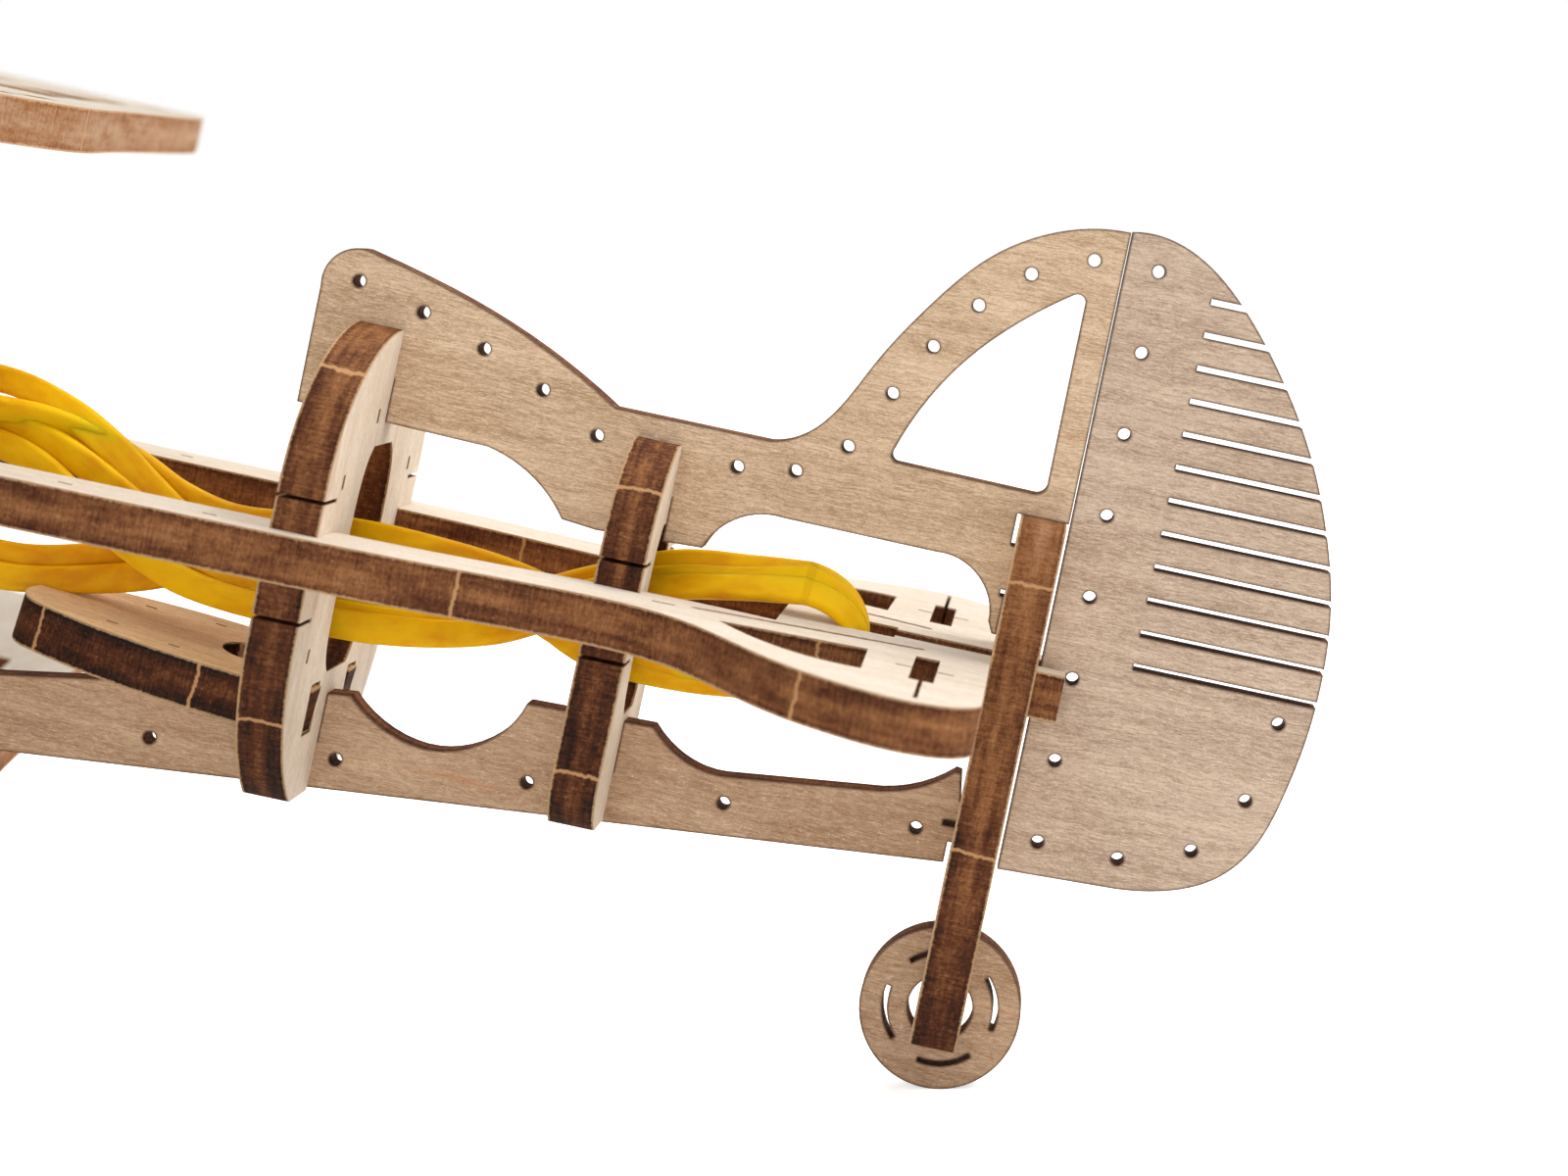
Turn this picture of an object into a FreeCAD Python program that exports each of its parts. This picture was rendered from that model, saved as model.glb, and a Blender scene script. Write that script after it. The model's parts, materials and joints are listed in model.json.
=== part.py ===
import FreeCAD, Part
import Sketcher

# A rubber-band biplane cut from plywood, as a parametric document in millimetres.
# Every piece is drawn in the aircraft's own axes: x forward from the tail post, y to port, z up from the
# middle of the flat fuselage frame. One shared placement then stands the aircraft on its three wheels,
# nose up, with the origin on the ground at the middle of its overall length.

import math
import os

SIZES = {
    "thick_ply": 4.0,
    "thin_ply": 2.0,
    "attitude": 12.05,
    "rivet_hole": 1.1,
    "relief_slit": 0.35,
    "lap_gap": 0.02,
    "running_gap": 0.05,
    "former_tail_x": 33.9,
    "former_cockpit_x": 59.5,
    "former_wing_x": 102.0,
    "former_front_x": 132.0,
    "nose_x": 154.0,
    "upper_wing_z": 29.8,
    "lower_wing_z": -33.0,
    "wing_rear_x": 89.6,
    "wing_chord": 58.4,
    "wing_half_span": 88.0,
    "cabane_y": 12.25,
    "strut_y": 58.0,
    "gear_y": 24.0,
    "axle_x": 136.0,
    "axle_radius": 1.5,
    "axle_half_length": 37.0,
    "main_wheel_radius": 12.0,
    "main_wheel_y": 31.0,
    "keeper_radius": 3.5,
    "tail_bar_z": -28.8,
    "tail_bar_height": 3.8,
    "tail_wheel_radius": 7.0,
    "tail_wheel_bore": 2.81,
    "shaft_radius": 1.0,
    "stub_radius": 0.8,
    "stub_length": 4.0,
    "bush_radius": 3.0,
    "nose_plate_radius": 19.0,
    "bead_radius": 2.5,
    "cap_radius": 6.5,
    "hub_radius": 7.0,
    "hub_length": 9.0,
    "blade_length": 42.0,
    "blade_pitch": 32.0,
    "belly_tilt": 5.3,
    "rudder_slot_pitch": 2.93,
}

FLAT, SIDE, CROSS = "XY_Plane", "XZ_Plane", "YZ_Plane"
UP = FreeCAD.Vector(0, 0, 1)
RIVET = "Sizes.rivet_hole"

doc = FreeCAD.newDocument("rubber_band_plane")


def make_sheet():
    """The driving dimensions, one alias per row."""
    sheet = doc.addObject("Spreadsheet::Sheet", "Sizes")
    for row, (alias, value) in enumerate(SIZES.items(), start=1):
        sheet.set("A%d" % row, alias)
        sheet.set("B%d" % row, str(value))
        sheet.setAlias("B%d" % row, alias)
    doc.recompute()
    return sheet


sheet = make_sheet()


def size(alias):
    return float(sheet.get(alias))


# ---------------------------------------------------------------- outlines
# An outline is a list. A plain point is reached by a straight line, a list of two points is an arc through
# the first to the second, and a longer list is a smooth curve through all of its points.


def rows(outline):
    """The outline as rows of points, each starting where the last one ended."""
    here = outline[0]
    result = []
    for step in outline[1:]:
        points = step if isinstance(step, list) else [step]
        result.append([here] + points)
        here = points[-1]
    return result


def closed(outline):
    """Rows of an outline, with a straight last side back to its start when one is needed."""
    result = rows(outline)
    if math.dist(result[-1][-1], result[0][0]) > 1e-6:
        result.append([result[-1][-1], result[0][0]])
    return result


def both_sides(outline, flip):
    """Rows of a half outline followed by its mirror image, closed across the middle line."""
    half = rows(outline)
    other = [[flip(point) for point in reversed(row)] for row in reversed(half)]
    result = list(half)
    for row in other:
        if math.dist(result[-1][-1], row[0]) > 1e-6:
            result.append([result[-1][-1], row[0]])
        result.append(row)
    if math.dist(result[-1][-1], result[0][0]) > 1e-6:
        result.append([result[-1][-1], result[0][0]])
    return result


def left_right(point):
    """Mirror of a point in a sketch across the fuselage, where the first number runs sideways."""
    return (-point[0], point[1])


def port_starboard(point):
    """Mirror of a point in a plan view, where the second number runs sideways."""
    return (point[0], -point[1])


def box(x1, y1, x2, y2):
    return closed([(x1, y1), (x2, y1), (x2, y2), (x1, y2)])


def slit(start, end, width=None):
    """A narrow straight slot between two points."""
    half = (width or size("relief_slit")) / 2.0
    length = math.dist(start, end)
    across = (-(end[1] - start[1]) / length * half, (end[0] - start[0]) / length * half)
    corners = []
    for point, sign in ((start, 1), (end, 1), (end, -1), (start, -1)):
        corners.append((point[0] + sign * across[0], point[1] + sign * across[1]))
    return closed(corners)


def arc_slot(centre, radius, middle_angle, half_angle, width):
    """A curved slot with square ends, centred on an angle in degrees."""

    def at(distance, angle):
        turn = math.radians(angle)
        return (centre[0] + distance * math.cos(turn), centre[1] + distance * math.sin(turn))

    first, last = middle_angle - half_angle, middle_angle + half_angle
    inner, outer = radius - width / 2.0, radius + width / 2.0
    return closed([
        at(inner, first),
        [at(inner, middle_angle), at(inner, last)],
        at(outer, last),
        [at(outer, middle_angle), at(outer, first)],
    ])


def tall_opening(half_width, bottom, top):
    """A tall hole on the middle line, with flat ends and bowed sides."""
    flat, shoulder = 0.56 * half_width, 0.82 * half_width
    middle = (bottom + top) / 2.0
    return both_sides([
        (0.0, top),
        (flat, top),
        [(shoulder, top - 1.5), (0.96 * half_width, top - 4.0), (half_width, middle),
         (0.96 * half_width, bottom + 4.0), (shoulder, bottom + 1.5), (flat, bottom)],
        (0.0, bottom),
    ], left_right)


def mirrored(shapes, flip):
    """The shapes and their mirror images."""
    result = list(shapes)
    for shape in shapes:
        result.append([[flip(point) for point in row] for row in shape])
    return result


# ---------------------------------------------------------------- bodies and features


def vector(point):
    return FreeCAD.Vector(point[0], point[1], 0.0)


def add_rows(sketch, shape):
    """Draw one closed wire in a sketch."""
    for row in shape:
        if len(row) == 2:
            sketch.addGeometry(Part.LineSegment(vector(row[0]), vector(row[1])), False)
        elif len(row) == 3:
            sketch.addGeometry(Part.Arc(vector(row[0]), vector(row[1]), vector(row[2])), False)
        else:
            curve = Part.BSplineCurve()
            curve.interpolate([vector(point) for point in row])
            sketch.addGeometry(curve, False)


def add_circles(sketch, centres, diameter):
    """Round holes of one size: the first is bound to the sheet and the rest are equal to it."""
    first = None
    for centre in centres:
        index = sketch.addGeometry(Part.Circle(vector(centre), UP, 1.0), False)
        if first is None:
            first = index
            name = "size_%d" % index
            constraint = sketch.addConstraint(Sketcher.Constraint("Diameter", index, 2.0))
            sketch.renameConstraint(constraint, name)
            sketch.setExpression("Constraints." + name, diameter)
        else:
            sketch.addConstraint(Sketcher.Constraint("Equal", first, index))


def new_sketch(body, name, plane, offset):
    """A sketch on one of the body's own origin planes, moved off it by an expression."""
    sketch = body.newObject("Sketcher::SketchObject", name)
    origin = [item for item in body.Origin.OriginFeatures if item.Role == plane][0]
    sketch.AttachmentSupport = [(origin, "")]
    sketch.MapMode = "FlatFace"
    sign = "-1 * " if plane == SIDE else ""
    sketch.setExpression("AttachmentOffset.Base.z", "%s(%s)" % (sign, offset))
    return sketch


def new_body(label):
    body = doc.addObject("PartDesign::Body", label)
    body.Label = label
    return body


def pad(body, sketch, length):
    """Thicken a sketch to both sides of its plane."""
    feature = body.newObject("PartDesign::Pad", body.Label + "_pad")
    feature.Profile = sketch
    feature.SideType = "Symmetric"
    feature.setExpression("Length", length)
    doc.recompute()


def plate(label, plane, offset, thickness, outline):
    """A flat ply piece: a closed outline padded to both sides of its middle plane."""
    body = new_body(label)
    sketch = new_sketch(body, label + "_outline", plane, offset)
    add_rows(sketch, outline)
    pad(body, sketch, thickness)
    return body


def cut(body, what, plane, offset, shapes=(), circles=(), diameter=RIVET):
    """Cut-outs through a plate, checked to have taken something away."""
    before = body.Shape.Volume
    sketch = new_sketch(body, body.Label + "_" + what + "_outline", plane, offset)
    for shape in shapes:
        add_rows(sketch, shape)
    add_circles(sketch, circles, diameter)
    pocket = body.newObject("PartDesign::Pocket", body.Label + "_" + what)
    pocket.Profile = sketch
    pocket.Type = "ThroughAll"
    pocket.SideType = "Symmetric"
    doc.recompute()
    if body.Shape.Volume > before - 0.01:
        raise RuntimeError("%s: the %s cut nothing" % (body.Label, what))
    return pocket


def disc(label, plane, offset, centre, diameter, bore, length):
    """A disc, ring or rod with its middle on a plane, and a bore when one is given."""
    body = new_body(label)
    sketch = new_sketch(body, label + "_circles", plane, offset)
    add_circles(sketch, [centre], diameter)
    if bore:
        add_circles(sketch, [centre], bore)
    pad(body, sketch, length)
    return body


THICK = "Sizes.thick_ply"
THIN = "Sizes.thin_ply"

# Half thicknesses of the two plies, and the half width of a slot that takes thin ply.
HALF_THICK = size("thick_ply") / 2.0
HALF_THIN = size("thin_ply") / 2.0
SLOT = HALF_THIN + size("lap_gap")
THICK_SLOT = HALF_THICK + size("lap_gap")

# ---------------------------------------------------------------- heights of the half laps
# Where a keel crosses a former, each is slotted to this height and the other fills the rest.
LAPS = {
    "former_tail": {"upper": 9.6, "lower": -14.8},
    "former_cockpit": {"upper": 14.6, "lower": -17.6},
    "former_wing": {"upper": 13.0, "lower": -19.5},
    "former_front": {"upper": 11.6, "lower": -20.0},
}


def lap_slots(which, formers, far_end):
    """Slots in a keel, from the height of each half lap out past the keel's inner edge."""
    shapes = []
    for former in formers:
        middle = size(former + "_x")
        shapes.append(box(middle - THICK_SLOT, LAPS[former][which], middle + THICK_SLOT, far_end))
    return shapes


# ---------------------------------------------------------------- fuselage frame

TONGUE_HALF = 4.0
TONGUE_END = -4.5
TONGUE_GAP = 1.5
RAIL_TAB = (10.5, 14.0)
FRAME_SLOT_X = 7.1
CROSS_BAR = (14.4, 20.4)
CABANE_TABS = [(111.0, 117.0), (135.5, 141.5)]


def make_fuselage_frame():
    nose_rear = size("nose_x") - HALF_THICK
    nose_front = size("nose_x") + HALF_THICK
    body = plate("fuselage_frame", FLAT, "0", THICK, both_sides([
        (CROSS_BAR[1], 0.0),
        (CROSS_BAR[1], 6.0),
        [(27.0, 5.7), (34.0, 6.1), (50.0, 8.2), (60.0, 8.8), (90.0, 9.5)],
        (nose_rear, 9.5),
        (nose_rear, RAIL_TAB[0]),
        (nose_front, RAIL_TAB[0]),
        (nose_front, RAIL_TAB[1]),
        (nose_rear, RAIL_TAB[1]),
        (nose_rear, 15.0),
        (90.0, 15.0),
        [(60.0, 14.4), (50.0, 13.8), (40.0, 12.6), (34.0, 12.3), (28.5, 13.5), (23.9, 16.9),
         (19.6, 21.1), (16.2, 23.6), (12.9, 25.2), (7.9, 26.4), (4.5, 25.6), (HALF_THICK, 22.6)],
        (HALF_THICK, TONGUE_HALF),
        (TONGUE_END, TONGUE_HALF),
        (TONGUE_END, TONGUE_GAP),
        (10.5, TONGUE_GAP),
        (10.5, 2.5),
        (CROSS_BAR[0], 2.5),
        (CROSS_BAR[0], 0.0),
    ], port_starboard))
    triangle = closed([
        (12.1, 9.9),
        (24.4, 11.4),
        [(21.6, 14.6), (18.4, 17.0), (11.9, 18.2)],
    ])
    cut(body, "windows", FLAT, "0", mirrored([triangle], port_starboard))
    holder = box(FRAME_SLOT_X - SLOT, 8.6, FRAME_SLOT_X + SLOT, 18.2)
    cut(body, "slots", FLAT, "0", mirrored([holder], port_starboard))
    reliefs = [
        slit((FRAME_SLOT_X - 2.4, 13.6), (FRAME_SLOT_X + 2.4, 13.6)),
        slit((FRAME_SLOT_X, 18.0), (FRAME_SLOT_X, 24.9)),
        slit((7.7, 5.2), (20.6, 7.2)),
    ]
    cut(body, "reliefs", FLAT, "0", mirrored(reliefs, port_starboard))
    marks = [slit((x, 12.3), (x + 1.2, 12.3)) for x in (66.0, 78.0, 90.0)]
    marks.append(slit((28.5, 9.0), (30.5, 9.0)))
    cut(body, "marks", FLAT, "0", mirrored(marks, port_starboard))
    tabs = [box(x1 - 0.02, size("cabane_y") - SLOT, x2 + 0.02, size("cabane_y") + SLOT)
            for x1, x2 in CABANE_TABS]
    cut(body, "cabane_slots", FLAT, "0", mirrored(tabs, port_starboard))
    return body


# ---------------------------------------------------------------- keels, fin and rudder

POST_TOP = 14.4
UPPER_TAB = (7.6, 11.6)
NOTCH_FRONT = HALF_THICK + 0.35
LOWER_TAB = (-14.6, -11.0)


def make_upper_keel():
    """Headrest hump, spine and fin in one thin sheet, notched over the top of the tail post."""
    body = plate("upper_keel", SIDE, "0", THIN, closed([
        (65.3, 10.9),
        (65.4, 21.2),
        [(64.7, 23.9), (62.2, 25.0)],
        [(57.0, 23.8), (50.0, 21.7), (44.0, 19.2), (38.3, 16.1)],
        (24.6, 16.1),
        [(22.2, 17.0), (19.7, 19.6), (17.2, 24.4), (13.5, 30.5), (9.4, 35.5), (5.0, 38.5), (-2.2, 40.2)],
        (-2.2, POST_TOP),
        (NOTCH_FRONT, POST_TOP),
        (NOTCH_FRONT, UPPER_TAB[1]),
        (-HALF_THICK, UPPER_TAB[1]),
        (-HALF_THICK, UPPER_TAB[0]),
        (HALF_THICK, UPPER_TAB[0]),
        (HALF_THICK, 3.8),
        (2.4, 3.8),
        (2.9, 4.8),
        [(3.5, 7.1), (5.2, 8.9), (8.4, 9.7)],
        (22.1, 9.8),
        [(25.6, 9.1), (28.4, 5.8)],
        (37.7, 5.4),
        (40.8, 5.7),
        [(44.1, 8.8), (48.4, 10.5)],
    ]))
    window = closed([
        (13.4, 16.55),
        (1.4, 16.4),
        [(0.6, 16.7), (0.35, 17.5)],
        (0.4, 33.2),
        [(0.7, 33.9), (1.5, 33.9)],
        [(5.4, 30.8), (9.7, 26.1), (12.4, 21.6), (14.0, 17.5)],
        [(14.0, 16.9), (13.4, 16.55)],
    ])
    cut(body, "window", SIDE, "0", [window])
    cut(body, "laps", SIDE, "0", lap_slots("upper", ("former_tail", "former_cockpit"), 0.0))
    cut(body, "relief", SIDE, "0", [slit((2.4, 7.4), (1.0, 7.4), 0.6)])
    cut(body, "rivets", SIDE, "0", circles=[
        (62.2, 22.2), (56.2, 20.7), (50.4, 18.7), (44.7, 16.3), (39.3, 13.4), (26.9, 13.3),
        (21.9, 14.0), (17.9, 17.0), (15.1, 22.3), (12.5, 27.0), (9.4, 31.3), (5.5, 34.9), (0.4, 37.2),
    ])
    return body


def make_lower_keel():
    """Scalloped beam under the tail, deepening forward to carry the lower wing in a cross lap."""
    wing_top = size("lower_wing_z") + THICK_SLOT
    wing_bottom = size("lower_wing_z") - THICK_SLOT
    lap_x = size("wing_rear_x") + size("wing_chord") / 2.0
    nose_rear = size("nose_x") - HALF_THICK
    nose_front = size("nose_x") + HALF_THICK
    body = plate("lower_keel", SIDE, "0", THIN, closed([
        (2.9, -8.5),
        [(6.0, -10.6), (8.9, -11.5)],
        (22.4, -13.1),
        [(24.4, -13.0), (27.4, -11.8), (29.3, -10.2)],
        (40.4, -10.5),
        [(42.6, -14.0), (47.0, -16.1), (51.8, -15.4), (55.4, -13.0)],
        (60.0, -13.5),
        (60.0, -16.4),
        (72.0, -15.3),
        (85.9, -17.6),
        [(90.4, -17.0), (94.0, -14.0)],
        (nose_rear, -12.0),
        (nose_rear, -13.0),
        (nose_front, -13.0),
        (nose_front, -17.0),
        (nose_rear, -17.0),
        (nose_rear, -22.0),
        [(150.4, -31.0), (146.0, -38.0)],
        [(144.8, -39.2), (143.0, -39.6)],
        (109.0, -39.6),
        [(105.8, -38.6), (104.4, wing_bottom)],
        (lap_x, wing_bottom),
        (lap_x, wing_top),
        (103.0, wing_top),
        [(100.8, -27.4), (96.0, -25.1)],
        (NOTCH_FRONT, -16.4),
        (NOTCH_FRONT, LOWER_TAB[0]),
        (-HALF_THICK, LOWER_TAB[0]),
        (-HALF_THICK, LOWER_TAB[1]),
        (HALF_THICK, LOWER_TAB[1]),
        (2.4, -8.6),
    ]))
    formers = ("former_tail", "former_cockpit", "former_wing", "former_front")
    cut(body, "laps", SIDE, "0", lap_slots("lower", formers, -6.0))
    cut(body, "relief", SIDE, "0", [slit((3.1, -13.0), (1.0, -13.0), 0.5)])
    cut(body, "rivets", SIDE, "0", circles=[
        (5.3, -14.0), (22.0, -15.4), (39.0, -17.2), (55.6, -18.7), (71.7, -20.2), (88.5, -21.8),
    ])
    windows = [box(108.0, -28.0, 126.0, -20.0), box(138.0, -28.0, 146.0, -20.0)]
    cut(body, "windows", SIDE, "0", windows)
    return body


def make_cowl_keel():
    """The short upper keel ahead of the cockpit, with a windscreen step."""
    nose_rear = size("nose_x") - HALF_THICK
    nose_front = size("nose_x") + HALF_THICK
    body = plate("cowl_keel", SIDE, "0", THIN, closed([
        (98.0, 9.6),
        (98.0, 17.0),
        (102.5, 23.4),
        [(104.6, 24.0), (106.2, 22.6)],
        [(109.0, 19.6), (114.0, 18.6)],
        (nose_rear, 14.0),
        (nose_rear, 12.6),
        (nose_front, 12.6),
        (nose_front, 9.6),
        (nose_rear, 9.6),
        (nose_rear, 8.6),
    ]))
    cut(body, "laps", SIDE, "0", lap_slots("upper", ("former_wing", "former_front"), 0.0))
    holes = [(x, 15.6 - 0.09 * (x - 112.0)) for x in (112.0, 120.0, 128.0, 138.0, 146.0)]
    cut(body, "rivets", SIDE, "0", circles=holes)
    return body


RUDDER_EDGE = -2.32
RUDDER_TAB_END = -0.5
RUDDER_TAB_HALF = 1.9
RUDDER_SLOT_INNER = -10.2
RUDDER_SLOTS = 12


def make_rudder():
    """Thin sheet whose small tab swings between the two arms of the frame's tongue."""
    body = plate("rudder", SIDE, "0", THIN, closed([
        (RUDDER_EDGE, 40.3),
        [(-5.3, 40.4), (-8.6, 39.3), (-13.25, 35.7), (-18.0, 30.0), (-21.6, 24.2), (-24.1, 18.4),
         (-25.8, 12.4), (-26.4, 6.4), (-26.2, 1.0), (-25.2, -5.0), (-23.8, -9.4), (-21.0, -12.9),
         (-17.1, -14.8), (-12.0, -15.6)],
        (RUDDER_EDGE, -16.0),
        (RUDDER_EDGE, -RUDDER_TAB_HALF),
        (RUDDER_TAB_END, -RUDDER_TAB_HALF),
        (RUDDER_TAB_END, RUDDER_TAB_HALF),
        (RUDDER_EDGE, RUDDER_TAB_HALF),
    ]))
    column = [(-5.25, 37.4 - 7.2 * step) for step in range(8)]
    lobe = [(-12.3, -13.0), (-18.4, -11.0), (-22.1, -5.8), (-23.5, 1.3)]
    cut(body, "rivets", SIDE, "0", circles=column + lobe)
    lowest = 35.78 - size("rudder_slot_pitch") * (RUDDER_SLOTS - 1)
    first = cut(body, "slot", SIDE, "0", [box(-32.0, lowest - 0.27, RUDDER_SLOT_INNER, lowest + 0.27)])
    pattern = body.newObject("PartDesign::LinearPattern", "rudder_slots")
    pattern.Originals = [first]
    pattern.Direction = (first.Profile[0], ["V_Axis"])
    pattern.setExpression("Length", "%d * Sizes.rudder_slot_pitch" % (RUDDER_SLOTS - 1))
    pattern.Occurrences = RUDDER_SLOTS
    body.Tip = pattern
    doc.recompute()
    return body


# ---------------------------------------------------------------- tail post and tail wheel

POST_HALF = 5.5
FORK_TOP = -21.0
WHEEL_SLOT = HALF_THIN + 0.15
BAR_END = -4.0


def make_tail_post():
    """Upright across the tail. Its port leg turns in at the bottom as the square bar of the wheel."""
    bar_top = size("tail_bar_z") + size("tail_bar_height") / 2.0
    bar_bottom = size("tail_bar_z") - size("tail_bar_height") / 2.0
    body = plate("tail_post", CROSS, "0", THICK, closed([
        (-POST_HALF + 1.0, POST_TOP),
        (POST_HALF - 1.0, POST_TOP),
        [(POST_HALF - 0.3, POST_TOP - 0.3), (POST_HALF, POST_TOP - 1.0)],
        (POST_HALF, bar_bottom),
        (BAR_END, bar_bottom),
        (BAR_END, bar_top + 0.5),
        (BAR_END + 0.8, bar_top + 0.5),
        (BAR_END + 1.2, bar_top),
        (WHEEL_SLOT, bar_top),
        (WHEEL_SLOT, FORK_TOP),
        (-3.6, FORK_TOP),
        [(-5.0, FORK_TOP + 0.6), (-POST_HALF, FORK_TOP + 2.0)],
        (-POST_HALF, POST_TOP - 1.0),
        [(-POST_HALF + 0.3, POST_TOP - 0.3), (-POST_HALF + 1.0, POST_TOP)],
    ]))
    gap = size("lap_gap")
    slots = [box(-SLOT, low - gap, SLOT, high + gap) for low, high in (UPPER_TAB, LOWER_TAB)]
    slots.append(box(-TONGUE_HALF - gap, -THICK_SLOT, TONGUE_HALF + gap, THICK_SLOT))
    cut(body, "slots", CROSS, "0", slots)
    return body


def wheel_slots(centre, radius, width, half_angle, start=0.0):
    """Four curved slots round the hub of a wheel."""
    return [arc_slot(centre, radius, start + 90.0 * turn, half_angle, width) for turn in range(4)]


def make_tail_wheel():
    centre = (0.0, size("tail_bar_z"))
    body = disc("tail_wheel", SIDE, "0", centre, "2 * Sizes.tail_wheel_radius",
                "2 * Sizes.tail_wheel_bore", THIN)
    cut(body, "slots", SIDE, "0", wheel_slots(centre, 4.8, 0.42, 28.0, -16.0))
    return body


# ---------------------------------------------------------------- formers and belly plate

BELLY_TABS = (3.6, 5.7)
BELLY_HEIGHT = -13.85


def former(label, half_outline, opening):
    """A thick plate across the fuselage, drawn as its port half, with an opening for the rubber."""
    offset = "Sizes.%s_x" % label
    body = plate(label, CROSS, offset, THICK, both_sides(half_outline, left_right))
    cut(body, "opening", CROSS, offset, [opening])
    return body


def former_slits(body, edge, heights, depth, decorations=()):
    """Relief slits above and below each rail, and short marks near the outer edge."""
    shapes = [slit((edge - depth, height), (edge + 1.0, height)) for height in heights]
    shapes += [slit((y, z - 0.62), (y, z + 0.62), 0.5) for y, z in decorations]
    cut(body, "reliefs", CROSS, "Sizes.%s_x" % body.Label, mirrored(shapes, left_right))


def make_former_cockpit():
    laps = LAPS["former_cockpit"]
    body = former("former_cockpit", [
        (SLOT, laps["upper"]),
        (SLOT, 18.85),
        [(8.98, 15.2), (12.7, 6.2)],
        (12.7, THICK_SLOT),
        (8.6, THICK_SLOT),
        (8.6, -THICK_SLOT),
        (12.7, -THICK_SLOT),
        (12.4, -8.0),
        [(10.5, -15.0), (5.2, -21.8)],
        (SLOT, -21.8),
        (SLOT, laps["lower"]),
    ], tall_opening(4.25, -11.1, 8.7))
    tabs = [box(BELLY_TABS[0] - 0.05, BELLY_HEIGHT - 2.25, BELLY_TABS[1] + 0.05, BELLY_HEIGHT + 2.25)]
    cut(body, "belly_slots", CROSS, "Sizes.former_cockpit_x", mirrored(tabs, left_right))
    former_slits(body, 12.7, (4.8, -5.3), 3.0, [(3.1, 11.4), (8.9, 6.2), (8.5, -8.6)])
    return body


def make_former_tail():
    laps = LAPS["former_tail"]
    body = former("former_tail", [
        (SLOT, laps["upper"]),
        (SLOT, 14.1),
        (2.4, 14.1),
        [(5.3, 11.2), (7.0, 6.6)],
        (7.0, THICK_SLOT),
        (5.8, THICK_SLOT),
        (5.8, -THICK_SLOT),
        (7.0, -THICK_SLOT),
        (7.0, -13.0),
        [(6.3, -17.1), (4.5, -19.0)],
        (SLOT, -19.0),
        (SLOT, laps["lower"]),
    ], tall_opening(3.2, -9.5, 7.2))
    former_slits(body, 7.0, (4.2, -4.2), 2.4)
    return body


def make_wing_former(label, radius, top_centre, bottom, opening):
    laps = LAPS[label]
    lean = radius * math.sqrt(0.5)
    body = former(label, [
        (SLOT, laps["upper"]),
        (SLOT, top_centre + radius - 0.05),
        [(lean, top_centre + lean), (radius, top_centre)],
        (radius, THICK_SLOT),
        (9.45, THICK_SLOT),
        (9.45, -THICK_SLOT),
        (13.0, -THICK_SLOT),
        (13.0, -11.0),
        [(11.2, -19.0), (6.4, bottom)],
        (SLOT, bottom),
        (SLOT, laps["lower"]),
    ], opening)
    former_slits(body, 13.0, (4.2, -4.2), 3.0, [(9.4, -14.0)])
    return body


def make_belly_plate():
    """Tilted plate held by two tabs in the cockpit former, drawn flat and then tipped nose up."""
    tilt = math.radians(size("belly_tilt"))
    gap_front = HALF_THICK * (1.0 + math.sin(tilt)) / math.cos(tilt) + size("lap_gap")
    body = plate("belly_plate", FLAT, "0", THICK, both_sides([
        (gap_front, 0.0),
        (gap_front, BELLY_TABS[0]),
        (-HALF_THICK, BELLY_TABS[0]),
        (-HALF_THICK, BELLY_TABS[1]),
        (gap_front, BELLY_TABS[1]),
        (gap_front, 7.4),
        [(10.0, 7.5), (17.0, 6.6), (23.0, 4.8)],
        [(24.6, 3.2), (25.0, 0.0)],
    ], port_starboard))
    hole = closed([
        (4.9, 2.6),
        [(8.1, 0.0), (4.9, -2.6)],
        (3.9, -2.6),
        (3.9, 2.6),
    ])
    cut(body, "hole", FLAT, "0", [hole])
    marks = [slit((x, y), (x + 1.0, y)) for x, y in ((3.0, 5.6), (10.0, 5.2), (16.0, 4.0))]
    cut(body, "marks", FLAT, "0", mirrored(marks, port_starboard))
    return body


# ---------------------------------------------------------------- wings and struts

STRUT_TAB = (130.0, 137.0)
WING_SWEEP = 0.225
FRONT_BAYS = ((6.0, 18.5), (28.4, 40.0), (43.5, 52.5))
GEAR_TABS = [(117.0, 123.0), (131.0, 138.0)]


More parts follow.
